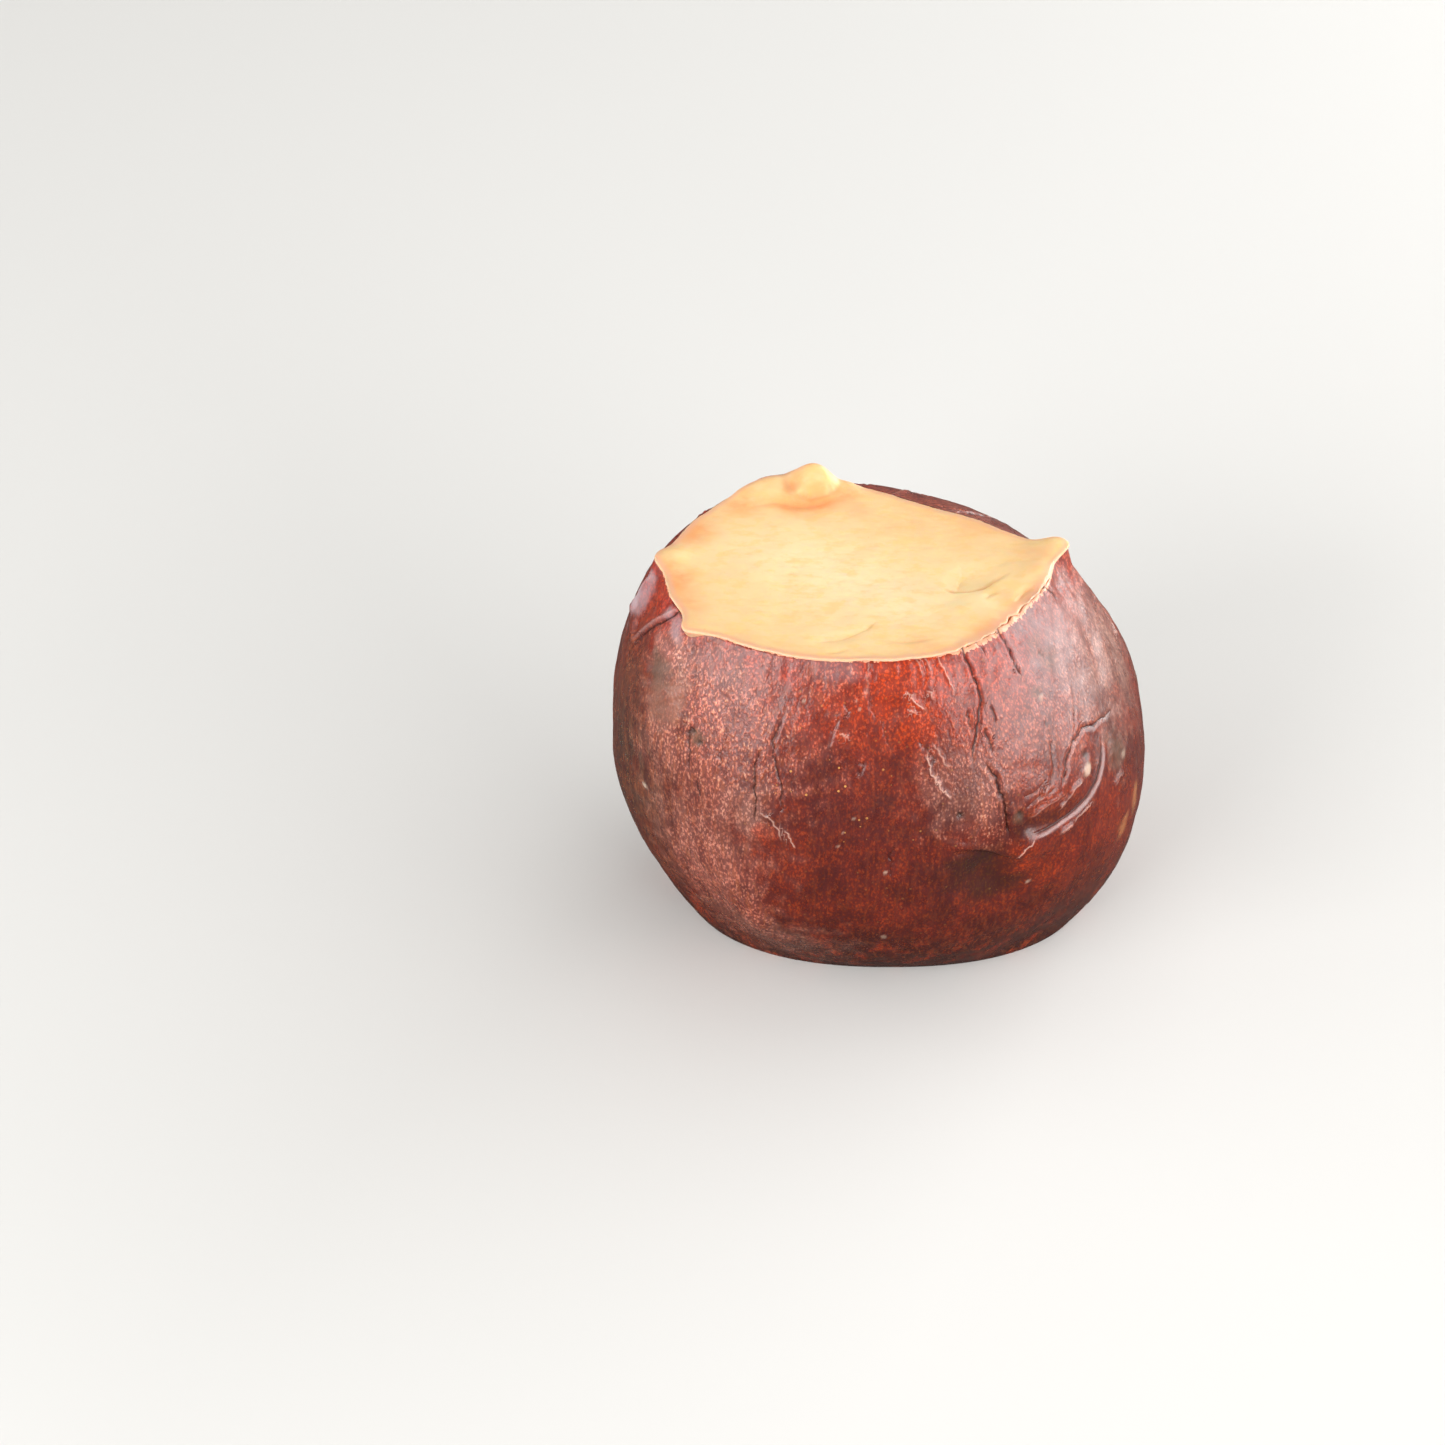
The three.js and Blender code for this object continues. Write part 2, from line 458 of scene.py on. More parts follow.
# The creases that the camera sees, from the rim down: each one's path, width, depth and tone.
CREASE_ROWS = (
    # The split under the right end of the rim's front, and the one that runs on from it.
    (GROOVE, (
        (-60, 46.8), (-60.4, 43.8), (-61, 41.9), (-64.4, 39.3), (-67.6, 36.7), (-68.4, 34.6),
    ), 0.22, 0.2),
    (GROOVE, ((-65.6, 35.7), (-63.6, 33.7), (-63, 31.3), (-62.6, 28.3), (-62, 25.2)), 0.26, 0.3),
    (GROOVE, ((-59, 40.9), (-59.6, 39)), 0.18, 0.12, 0.7),
    (GROOVE, ((-63, 39), (-63, 37.8), (-62.8, 36.2)), 0.2, 0.16, 0.8),
    (GROOVE, ((-65.8, 41.2), (-66.4, 39.7), (-66, 38.6)), 0.18, 0.12, 0.7),
    (GROOVE, ((-44.4, 46.6), (-44.8, 44.2), (-46, 42.9), (-46.6, 41.5)), 0.18, 0.16, 0.9),
    (GROOVE, ((-54.2, 46.6), (-53.8, 44.4)), 0.18, 0.1, 0.4),
    # The pale scars of the middle.
    (RIDGE, ((-78.8, 37.6), (-78.6, 35.6), (-77.8, 34), (-75.8, 32.5), (-74.4, 31.7)), 0.18, 0.2),
    (RIDGE, ((-77, 38.3), (-75.4, 36.6), (-73.8, 35.1)), 0.16, 0.12, 0.5),
    (RIDGE, ((-81.2, 43.6), (-80.4, 43.2), (-79, 42.5), (-76.6, 41.4)), 0.18, 0.16, 0.9),
    (RIDGE, ((-81.2, 41.7), (-80.6, 41.5), (-79.8, 41.4)), 0.2, 0.16, 0.8),
    (RIDGE, ((-75.2, 43.5), (-74.2, 43.2), (-74.4, 42.6)), 0.18, 0.16, 0.7),
    (RIDGE, ((-68.8, 46.6), (-68.2, 44.7), (-67.2, 42.8)), 0.22, 0.14, 0.7),
    (RIDGE, ((-72.6, 46.6), (-72.2, 45.1)), 0.18, 0.1, 0.5),
    (RIDGE, ((-75.4, 46.6), (-75, 44.9)), 0.18, 0.1, 0.4),
    (GROOVE, (
        (-89.2, 46.6), (-91.4, 43.8), (-91.6, 41.7), (-89.2, 40.1), (-88.2, 37.9), (-86, 35.8),
    ), 0.18, 0.05, 0.3),
    (RIDGE, ((-90.2, 46.6), (-92.2, 43.8), (-92.4, 42.4)), 0.16, 0.04, 0.35),
    (GROOVE, ((-98.8, 42.1), (-98.2, 41.2), (-98, 40.6)), 0.18, 0.06, 0.7),
    (RIDGE, ((-100.6, 39.1), (-99.2, 38.8), (-98.2, 38.9)), 0.18, 0.12, 0.7),
    # The two long splits at the left of the middle, and the kink between them.
    (GROOVE, ((-119, 37.3), (-120, 34.3), (-119, 31), (-119, 27.9)), 0.22, 0.2, 0.9),
    (GROOVE, (
        (-115, 40.9), (-115.4, 39.3), (-116.6, 38), (-115.6, 35.7), (-113.2, 32.4), (-113.8, 28.8),
    ), 0.22, 0.18, 0.8),
    (RIDGE, ((-118.4, 29.6), (-115.6, 29.2), (-113.8, 28), (-112.8, 26.4)), 0.18, 0.12, 0.7),
    (RIDGE, ((-112.4, 28.1), (-110.8, 26.8), (-109.8, 25.7)), 0.16, 0.1, 0.8),
    (GROOVE, ((-137.4, 36.7), (-136.8, 34.4), (-135.8, 31.3)), 0.2, 0.14, 0.9),
    (GROOVE, ((-133.4, 30.7), (-132.2, 28.5)), 0.2, 0.12, 0.9),
    (GROOVE, ((-141.2, 28.4), (-142, 24.6), (-141.4, 20.9), (-140.8, 15.9), (-142.8, 10.8)), 0.4, 0.2, 0.35),
    (GROOVE, ((-127.6, 38.1), (-128.2, 35), (-127.2, 32.4)), 0.18, 0.1, 0.35),
    # The folded flap at the left end of the rim.
    (RIDGE, ((-181.4, 36.9), (-180, 38.6), (-178.6, 40.4), (-178.2, 42.4), (-178, 44.2)), 0.6, 0.45, 0),
    (FOLD, (
        (-155.4, 45.8), (-158.4, 44.2), (-161.6, 42.6), (-165.6, 40.4), (-168.4, 38.6), (-171.4, 36.4),
    ), 0.3, 0.3),
    (VALLEY, ((-173, 37.4), (-172, 40.4), (-169.6, 44)), 1.6, 0.6),
    # The arcs at the right.
    (GROOVE, (
        (-19.2, 31.2), (-29, 32.6), (-35.8, 33.5), (-40.6, 33.4), (-44.4, 32.4), (-46.6, 31),
        (-48.6, 29.9),
    ), 0.22, 0.2, 0.9),
    (GROOVE, ((-30, 37.8), (-33.2, 36.4), (-35.8, 35.3), (-39.6, 33.7)), 0.18, 0.1, 0.4),
    (GROOVE, (
        (-45.6, 35.8), (-47.8, 34), (-48.6, 32.5), (-50.8, 31.2), (-54.2, 30.2), (-56.4, 29.3),
    ), 0.2, 0.14, 0.5),
    (GROOVE, ((-51.2, 31.7), (-54.6, 30.9), (-58.4, 30.5)), 0.18, 0.1, 0.4),
    (OVERLAP, (
        (-58, 25.3), (-56, 25.2), (-54, 25.2), (-51, 25.3), (-48, 25.5), (-45.2, 25.8),
        (-41.4, 26.5), (-37.4, 27.7), (-34.6, 28.8), (-32, 29.9), (-29.6, 31.2),
    ), 0.32, 0.15, 0.9),
    (RIDGE, ((-51, 24.3), (-48.4, 24.5), (-46, 25), (-42.4, 25.7), (-40, 26.2)), 0.24, 0.16, 0.6),
    (VALLEY, ((-60, 27.2), (-56.8, 27), (-52.8, 27.2), (-49, 27.7), (-44.6, 28.7)), 1.3, 0.3),
    (RIDGE, ((-57, 25.2), (-59, 24.2), (-60.4, 22.4)), 0.26, 0.32),
    (FOLD, (
        (-61, 22.8), (-62.8, 23.3), (-65.2, 24), (-68.6, 24.9), (-72.8, 25.6), (-76.2, 25.6),
    ), 0.6, 0.3, 0),
    (RIDGE, ((-50.6, 24), (-48.6, 24.4), (-46.4, 24.8)), 0.28, 0.2, 0.3),
    (RIDGE, ((-32.4, 25.3), (-30.2, 25.7), (-27.6, 25.7)), 0.3, 0.2, 0.3),
    (RIDGE, ((-50.6, 26.8), (-48, 27.9), (-44.8, 28.9), (-41.6, 29.2)), 0.24, 0.26, 0.5),
    (RIDGE, ((-58, 27.6), (-54.4, 28.5), (-50.2, 29), (-47.2, 28.9)), 0.24, 0.26, 0.4),
    (RIDGE, ((-56.2, 29.3), (-53.2, 30.1), (-51.6, 31.1)), 0.24, 0.2, 0.3),
    (GROOVE, ((-58.6, 29), (-55.6, 29.8), (-52, 30), (-49.6, 30.6)), 0.22, 0.12, 0.35),
    (VALLEY, ((-70.6, 22.3), (-67.2, 20.5), (-61.6, 18), (-57.4, 16.8)), 1.2, 0.15),
    (VALLEY, ((-119.4, 27.4), (-117.4, 24.2), (-115.8, 19.8), (-116.8, 12.7), (-118.4, 6.8)), 1.1, 0.3),
    (GROOVE, ((-15.6, 46.4), (-12.8, 43.4)), 0.24, 0.2, 0.8),
    (VALLEY, ((-7.2, 45.1), (-11.8, 38.2), (-20, 33.2)), 1.8, 0.35),
)
SHOWN_CREASES = tuple(Crease(*row) for row in CREASE_ROWS)

# The marks that the camera sees: each one's angle, height, half sizes and strength.
SHOWN_MARKS = {
    MarkKind.PIT: (
        (-136.2, 36.1, 0.3, 0.3, 0.8), (-133.8, 35.1, 0.35, 0.25, 0.8), (-34.8, 42, 0.25, 0.3, 0.7),
        (-38.4, 31.2, 0.4, 0.5, 0.8), (-46, 36.6, 0.25, 0.3, 0.6), (-59.6, 28.7, 0.35, 0.5, 0.8),
        (-73, 29.9, 0.4, 0.3, 0.9), (-85.2, 8.5, 0.7, 0.4, 0.6),
    ),
    MarkKind.SCAB: (
        (-135.2, 35.6, 1.2, 1.2, 0.75), (-34.6, 43, 1.3, 0.9, 0.35), (-33.4, 41.2, 1.6, 1.3, 0.4),
        (-44.2, 39.7, 0.9, 0.6, 0.45), (-27.2, 28.4, 1.7, 1.9, 0.6), (-60, 28.3, 0.7, 1, 0.7),
        (8, 24.6, 1.4, 2, 0.5),
    ),
    MarkKind.TAN: ((-23, 20.4, 0.9, 2, 0.5), (-28.4, 18, 1, 1.2, 0.55),),
    MarkKind.PALE: (
        (-43.6, 39.1, 0.4, 0.25, 0.35), (-39.4, 29.9, 0.6, 0.6, 0.8), (-25.6, 27.1, 0.5, 0.4, 0.3),
        (-150.2, 24.4, 0.35, 0.35, 0.9), (-90.2, 22.8, 0.22, 0.18, 0.6), (-90.4, 12.2, 0.3, 0.5, 0.35),
        (-99.8, 27.9, 0.18, 0.15, 0.4), (-100.8, 26.2, 0.18, 0.15, 0.4), (-97.4, 29.6, 0.18, 0.15, 0.4),
        (-95.6, 42.3, 0.16, 0.14, 0.5), (-94.8, 41.6, 0.16, 0.14, 0.5), (-109.8, 42.1, 0.2, 0.16, 0.5),
        (-56.2, 17.9, 0.25, 0.3, 0.5),
    ),
    MarkKind.GREY: ((-150.8, 39.4, 2.4, 2.2, 1), (-146.6, 36.3, 1.8, 2.2, 0.6),),
    MarkKind.DULL: ((-142.4, 38, 1.5, 2.6, 0.9), (-147.6, 36.6, 2.6, 2.4, 0.5),),
    MarkKind.GOLD: ((-105, 33.4, 7, 7, 1), (-92, 31, 8, 5, 0.6),),
    # Milky patches: a painted reflection of the lights.
    MarkKind.MILK: (
        (-28, 41, 9, 6, 0.12), (-101, 45.8, 3.6, 1.5, 0.18), (-158, 44.6, 1.2, 0.8, 0.5),
        (-176.4, 41.2, 1.6, 2.6, 0.5), (-178.8, 40.6, 0.8, 3.4, 0.9), (-151, 44.6, 1.6, 1.2, 0.45),
    ),
    # Beige haze: a painted reflection of the lights.
    MarkKind.HAZE: (
        (-10, 36, 9, 8, 0.7), (-71, 32.5, 4, 4.6, 0.35), (-121, 29, 3.2, 3.8, 0.45), (-134, 23, 8, 8, 0.25),
        (-149, 42, 3.6, 3.2, 0.9), (-143, 31, 6, 6, 0.22), (-133, 43.6, 12, 2.6, 0.3), (-121, 9, 8, 5, 0.3),
    ),
    MarkKind.RUGGED: ((-70, 33, 4.5, 9, 1), (-67, 28, 4, 4.6, 0.9), (-132, 38, 12, 9, 0.7),),
    # Pink bloom patches: partly the skin's pinker tone, partly a painted milky reflection of the lights.
    MarkKind.BLOOM: (
        (-133, 37, 9.5, 9, 1), (-133, 15, 6, 11, 1), (-122, 15, 2.6, 8, 1), (-52, 36, 11, 7, 0.5),
        (-66, 31, 1.8, 6, 0.7), (-103, 45, 4, 2.6, 0.8), (40, 45, 16, 6, 0.9),
    ),
    MarkKind.MOSS: ((-158, 27, 11, 16, 1), (-144, 38, 6, 5, 0.5), (-141, 33, 8, 8, 0.42),),
    MarkKind.PLUM: ((-104, 33, 7, 8, 0.35), (-84, 30, 9, 9, 0.22),),
    MarkKind.EMBER: (
        (-169.4, 42.6, 2.6, 3, 0.5), (-116.2, 27, 1.5, 1.5, 0.6), (-59.6, 22, 2.6, 2.6, 1),
        (-53, 19, 4, 3, 0.6), (-50, 28, 5, 1.8, 0.3), (-42, 19, 9, 7, 0.18), (-84, 41.5, 11, 4.5, 0.85),
        (-79, 44.6, 8, 2.4, 1), (-70, 44.6, 3.4, 2, 0.7),
    ),
    # Painted shade: the dent, the fold's hollow, the lower right flank and the left edge.
    MarkKind.SHADE: (
        (-68.6, 22.6, 4.2, 2.2, 1), (-62, 18.6, 4.4, 1.6, 0.9), (-34, 11, 12, 7, 0.35),
        (-12, 20, 10, 14, 0.3), (-66, 19.6, 3.6, 2.4, 0.8), (-58.4, 26.6, 2.2, 1.2, 0.6),
        (-51, 27, 5.2, 1.5, 0.6), (-67, 21.6, 4.6, 2.8, 0.9), (-163, 23, 4, 9, 0.4),
        (-64, 17.8, 3.8, 1.8, 0.9),
    ),
}


@dataclass
class SkinSurface:
    """The skin's fine relief on the form, and what its finish needs to know at each point."""

    form: TuberForm
    seed: int = 11
    strays: int = 150
    stray_marks: int = 60
    reach: float = 5.72  # how many of a crease's widths from it its relief is worked out
    line_reach: float = 0.85  # how far from a crease its colour is worked out
    wobble: float = 0.09

    def path_places(self, crease: Crease, draw: np.random.Generator) -> Array:
        """A crease's line on the form, with short steps and a slight wobble.

        Args:
            crease: the crease.
            draw: where the wobble comes from.

        Returns:
            Points, in order.
        """
        given = np.array(crease.path)
        stops = np.arange(len(given))
        steps = np.linspace(0, len(given) - 1, 6 * len(given) - 5)
        angle, height = (np.interp(steps, stops, column) for column in given.T)
        theta = np.radians(angle)
        height = np.minimum(height, self.form.rim_height(theta))
        places = self.form.side(theta, self.form.climb_at(theta, height))
        if crease.kind in (FOLD, OVERLAP, VALLEY):
            return places
        moved = draw.normal(0, self.wobble, places.shape)
        moved[0] = moved[-1] = 0
        return places + moved

    def stray_creases(self, draw: np.random.Generator) -> list[Crease]:
        """Short creases where the camera sees none by name: the sides and the back, and a few fine ones.

        Args:
            draw: where their places and sizes come from.

        Returns:
            The creases.
        """
        made = []
        for _ in range(self.strays):
            angle = draw.uniform(-180, 180)
            z = draw.uniform(4, 43)
            shown = -165 < angle < -5
            if shown and (draw.uniform() < 0.86 or angle > -64):
                continue
            length = draw.uniform(1.5, 5) if shown else draw.uniform(2, 9)
            lean = draw.normal(0, 0.22)
            heights = z + np.linspace(-0.5, 0.5, 4) * length
            angles = angle + (heights - z) * lean * 2 + draw.normal(0, 0.5, 4)
            kind = RIDGE if draw.uniform() < 0.3 and not shown else GROOVE
            strength = draw.uniform(0.3, 0.7) if shown else draw.uniform(0.5, 1)
            path = tuple(zip(angles, heights))
            made.append(Crease(kind, path, 0.15 + 0.08 * strength, 0.2 * strength, 0.8 * strength))
        return made

    def measure_creases(self, places: Array, normals: Array) -> Fields:
        """The creases' relief, and for each look of a line the nearest one's distance and strength.

        Args:
            places: points of the form.
            normals: the outward directions there.

        Returns:
            Fields named relief, groove, ridge, sheen, groove_side and ridge_side.
        """
        draw = np.random.default_rng(self.seed)
        found = {name: np.zeros(len(places)) for name in ("relief", "groove", "ridge", "sheen")}
        found |= {name + "_side": np.full(len(places), self.line_reach) for name in ("groove", "ridge")}
        for crease in (*SHOWN_CREASES, *self.stray_creases(draw)):
            line = self.path_places(crease, draw)
            reach = max(self.reach * crease.width, 4 if crease.kind is OVERLAP else 1.5)
            low, high = line.min(axis=0) - reach, line.max(axis=0) + reach
            near = np.flatnonzero(np.all((places > low) & (places < high), axis=1))
            if not len(near):
                continue
            side, along = off_line(places[near], normals[near], line)
            taper = ease(along, 0, 0.18) * ease(along, 1, 0.82)
            if crease.path[0][1] > 44.5:
                taper = ease(along, 1, 0.75)
            found["relief"][near] += crease.relief(side) * taper
            if crease.kind is not VALLEY:
                self.keep_nearest(found, crease, near, side, taper)
        return found

    def keep_nearest(self, found: Fields, crease: Crease, near: Array, side: Array, taper: Array) -> None:
        """Keeps a crease's distance and strength where no other crease of its look is nearer.

        Args:
            found: the fields, which are changed.
            crease: the crease.
            near: which points side and taper are for.
            side: the signed distance from the crease.
            taper: how strong the crease is there.
        """
        name = "ridge" if crease.kind is RIDGE else "groove"
        if crease.kind in (FOLD, OVERLAP):
            # Fold and overlap crests get a painted highlight, the sheen, along the crest.
            middle = 0.45 if crease.kind is OVERLAP else -0.2
            shine = bell((side / crease.width - middle) / 0.8) * taper * crease.tone
            found["sheen"][near] = np.maximum(found["sheen"][near], shine)
            # Their dark line, moved toward the hollow, is a painted shadow under the crest.
            side = side - 1.5 * crease.width
        distance = np.abs(side)
        nearer = distance < np.abs(found[name + "_side"][near])
        strength = taper * crease.tone * ease(distance, self.line_reach, 0.6 * self.line_reach)
        found[name + "_side"][near[nearer]] = side[nearer]
        found[name][near[nearer]] = strength[nearer]

    def measure_marks(self, theta: Array, z: Array, places: Array) -> Fields:
        """How strong each kind of mark is at each point.

        Args:
            theta: the points' directions.
            z: their heights.
            places: the points, for the marks' uneven edges.

        Returns:
            One field for each kind, named after it in small letters.
        """
        edge = 1 + 0.45 * rough(places, 1.6, 3, 5.3)
        found = {kind.name.lower(): np.zeros(len(z)) for kind in MarkKind}
        shown = (Mark(kind, *row) for kind, rows in SHOWN_MARKS.items() for row in rows)
        for mark in (*shown, *self.stray_spots(np.random.default_rng(self.seed + 1))):
            across = np.radians(turn(theta, mark.angle)) * np.hypot(places[:, 0], places[:, 1])
            away = np.hypot(across / mark.wide, (z - mark.z) / mark.tall) * edge
            soft = min(1, max(mark.wide, mark.tall) / 5)
            amount = mark.strength * ease(away, 1.2 + 0.4 * soft, 0.6 - 0.5 * soft)
            name = mark.kind.name.lower()
            found[name] = np.maximum(found[name], amount)
        return found

    def stray_spots(self, draw: np.random.Generator) -> list[Mark]:
        """Small marks where the camera doesn't look.

        Args:
            draw: where their kinds, places and sizes come from.

        Returns:
            The marks.
        """
        made = []
        small = (MarkKind.PIT, MarkKind.PALE)
        kinds = (MarkKind.PIT, MarkKind.SCAB, MarkKind.PALE, MarkKind.TAN)
        for _ in range(self.stray_marks):
            kind = kinds[draw.choice(4, p=(0.35, 0.25, 0.25, 0.15))]
            angle = draw.uniform(10, 195)
            z = draw.uniform(3, 42)
            size = draw.uniform(0.25, 0.5) if kind in small else draw.uniform(0.6, 2)
            made.append(Mark(kind, angle, z, size, size * draw.uniform(0.7, 1.3), draw.uniform(0.5, 0.9)))
        return made

    def leaning(self, theta: Array, z: Array) -> Array:
        """Fine wrinkles that lean to the right, at the upper left of the front.

        Args:
            theta: the points' directions.
            z: their heights.

        Returns:
            How far the skin stands out.
        """
        along = np.radians(turn(theta, -147)) * 24
        across = (z - along) * math.sqrt(0.5)
        run = (z + along) * math.sqrt(0.5)
        places = np.stack([across, 0.22 * run, np.zeros_like(z)], axis=-1)
        where = bell(turn(theta, -148) / 12) * bell((z - 40) / 6.5)
        return 0.24 * where * rough(places, 0.8, 2, 6.6)

    def measure(self, theta: Array, climb: Array) -> tuple[Array, Fields]:
        """The skin's points with their fine relief, and the fields that its finish reads.

        Args:
            theta: the points' directions.
            climb: their climb up the side.

        Returns:
            The points, and the fields by name.
        """
        places = self.form.side(theta, climb)
        normals = self.form.side_normals(theta, climb)
        z = places[:, 2]
        from_rim = np.linalg.norm(self.form.side(theta, np.ones_like(climb)) - places, axis=1)
        fields = self.measure_creases(places, normals)
        marks = self.measure_marks(theta, z, places)
        fields |= marks
        relief = fields.pop("relief")
        relief += 0.16 * rough(places, 7, 2, 1.1) + 0.05 * rough(places, 2.2, 2, 2.3)
        drawn_in = 0.035 + 0.07 * bell(from_rim / 5)
        relief += drawn_in * rough(places * np.array([1, 1, 0.28]), 0.9, 2, 3.7)
        relief += self.leaning(theta, z)
        relief -= 0.25 * marks["pit"] + 0.04 * marks["grey"]
        relief += 0.06 * marks["scab"] + 0.08 * marks["pale"]
        relief += 0.1 * marks["scab"] * rough(places, 0.6, 2, 7.9)
        hold = (0.2 + 0.8 * ease(from_rim, 0, 1.5)) * ease(climb, -1, -0.94)
        fields["rim"] = bell(from_rim / 6.5) * (1 - 0.8 * marks["bloom"])
        fields["rim"] *= 1 - 0.75 * bell(turn(theta, -26) / 24)
        # Darker towards the base: a painted shade, with orange streaks in it.
        fields["low"] = ease(z, 20, 2)
        fields["torn"] = ease(from_rim, 0.45 + 0.75 * ragged_share(theta), 0.1)
        streaky = 0.25 + fields["bloom"] + 0.4 * fields["moss"] + 0.6 * fields["low"]
        fields["streaky"] = np.clip(streaky, 0, 1) * (1 - 0.9 * marks["shade"])
        return places + normals * (relief * hold)[:, None], fields


def ragged_share(theta: Array) -> Array:
    """How ragged the skin's upper edge is: all at the right of the front, not at all elsewhere."""
    return ease(turn(theta, -64), -6, 6) * ease(turn(theta, -2), 2, -16)


def turned_grid(
    rows: int, columns: int, closed: bool, crowding: float
) -> tuple[bmesh.types.BMesh, Array, Array]:
    """An upright line turned all the way round.

    Args:
        rows: the points of the line.
        columns: the steps round.
        closed: whether the last row joins the first one, as in a ring.
        crowding: how much closer together the columns are in front.

    Returns:
        The turned form, and the row and the direction of each of its points.
    """
    bm = bmesh.new()
    line = [bm.verts.new((1, 0, k)) for k in range(rows)]
    edges = [bm.edges.new(pair) for pair in zip(line, line[1:])]
    if closed:
        edges.append(bm.edges.new((line[-1], line[0])))
    bmesh.ops.spin(
        bm,
        geom=line + edges,
        cent=(0, 0, 0),
        axis=(0, 0, 1),
        angle=math.tau,
        steps=columns,
        use_merge=True,
        use_duplicate=False,
    )
    at = np.array([vert.co for vert in bm.verts])
    theta = np.arctan2(at[:, 1], at[:, 0])
    return bm, np.round(at[:, 2]).astype(int), theta - crowding * np.sin(theta - math.radians(FRONT))


def finish_piece(
    bm: bmesh.types.BMesh, name: str, places: Array, fields: Fields, material: bpy.types.Material
) -> bpy.types.Object:
    """Makes a closed piece of a turned form and ties it to the frame.

    Args:
        bm: the form, which is freed.
        name: the piece's name.
        places: where its points go, in millimetres from the solid's middle.
        fields: the points' named numbers.
        material: the piece's finish.

    Returns:
        The piece.
    """
    for field, values in fields.items():
        layer = bm.verts.layers.float.new(field)
        for vert, value in zip(bm.verts, values):
            vert[layer] = value
    for vert, place in zip(bm.verts, places * MM):
        vert.co = place
    bmesh.ops.remove_doubles(bm, verts=bm.verts[:], dist=1e-8)
    bmesh.ops.recalc_face_normals(bm, faces=bm.faces[:])
    for face in bm.faces:
        face.smooth = True
    mesh = bpy.data.meshes.new(name)
    bm.to_mesh(mesh)
    bm.free()
    mesh.materials.append(material)
    piece = bpy.data.objects.new(name, mesh)
    bpy.context.scene.collection.objects.link(piece)
    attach(piece, BODY)
    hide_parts(NODE)
    return piece


@dataclass
class Skin:
    """The thin closed shell of skin, open at both cuts."""

    form: TuberForm
    surface: SkinSurface
    columns: int = 496
    outer_rows: int = 184
    inner_rows: int = 10
    thickness: float = 1.7
    edge_thickness: float = 0.16
    upper_end: float = 0.992
    crowding: float = 0.42

    def end_climb(self, theta: Array) -> Array:
        """Where the skin ends under the upper cut, uneven and ragged at the right of the front.

        Args:
            theta: the points' directions.

        Returns:
            The climb of the skin's edge.
        """
        level = outward(theta) * 19
        torn = ragged_share(theta) * (0.007 * rough(level, 0.9, 3, 7.7) + 0.005)
        return self.upper_end + 0.003 * rough(level, 2, 3, 4.1) + torn

    def build(self, material: bpy.types.Material) -> bpy.types.Object:
        """The skin as one piece.

        Args:
            material: its finish.

        Returns:
            The piece.
        """
        bm, row, theta = turned_grid(self.outer_rows + self.inner_rows, self.columns, True, self.crowding)
        outer = row < self.outer_rows
        inner_share = np.clip((row - self.outer_rows) / (self.inner_rows - 1), 0, 1)
        share = np.where(outer, row / (self.outer_rows - 1), 0.5 + 0.5 * np.cos(math.pi * inner_share))
        climb = share * (1 + self.end_climb(theta)) - 1
        places, fields = self.surface.measure(theta, climb)
        wall = self.edge_thickness + (self.thickness - self.edge_thickness) * np.sin(math.pi * inner_share)
        plain = self.form.side(theta, climb) - outward(theta) * wall[:, None]
        places = np.where(outer[:, None], places, plain) - self.form.middle()
        return finish_piece(bm, "skin", places, fields, material)


@dataclass(frozen=True)
class FaceLine:
    """A line cut into the flesh through points of the upper cut, with a step beside it."""

    path: Path
    width: float
    depth: float
    step: float
    step_width: float

    def relief(self, places: Array) -> tuple[Array, Array]:
        """What the line does to the cut.

        Args:
            places: points of the cut, laid flat.

        Returns:
            The height that the line adds, and its share of the line's depth.
        """
        line = np.array([(*point, 0) for point in self.path])
        side, along = off_line(places, np.array([0, 0, 1]), line)
        taper = ease(along, 0, 0.25) * ease(along, 1, 0.75)
        groove = bell(side / self.width) * taper
        ledge = np.where(side > 0, bell(side / self.step_width), 0) * taper
        return self.step * ledge - self.depth * groove, groove


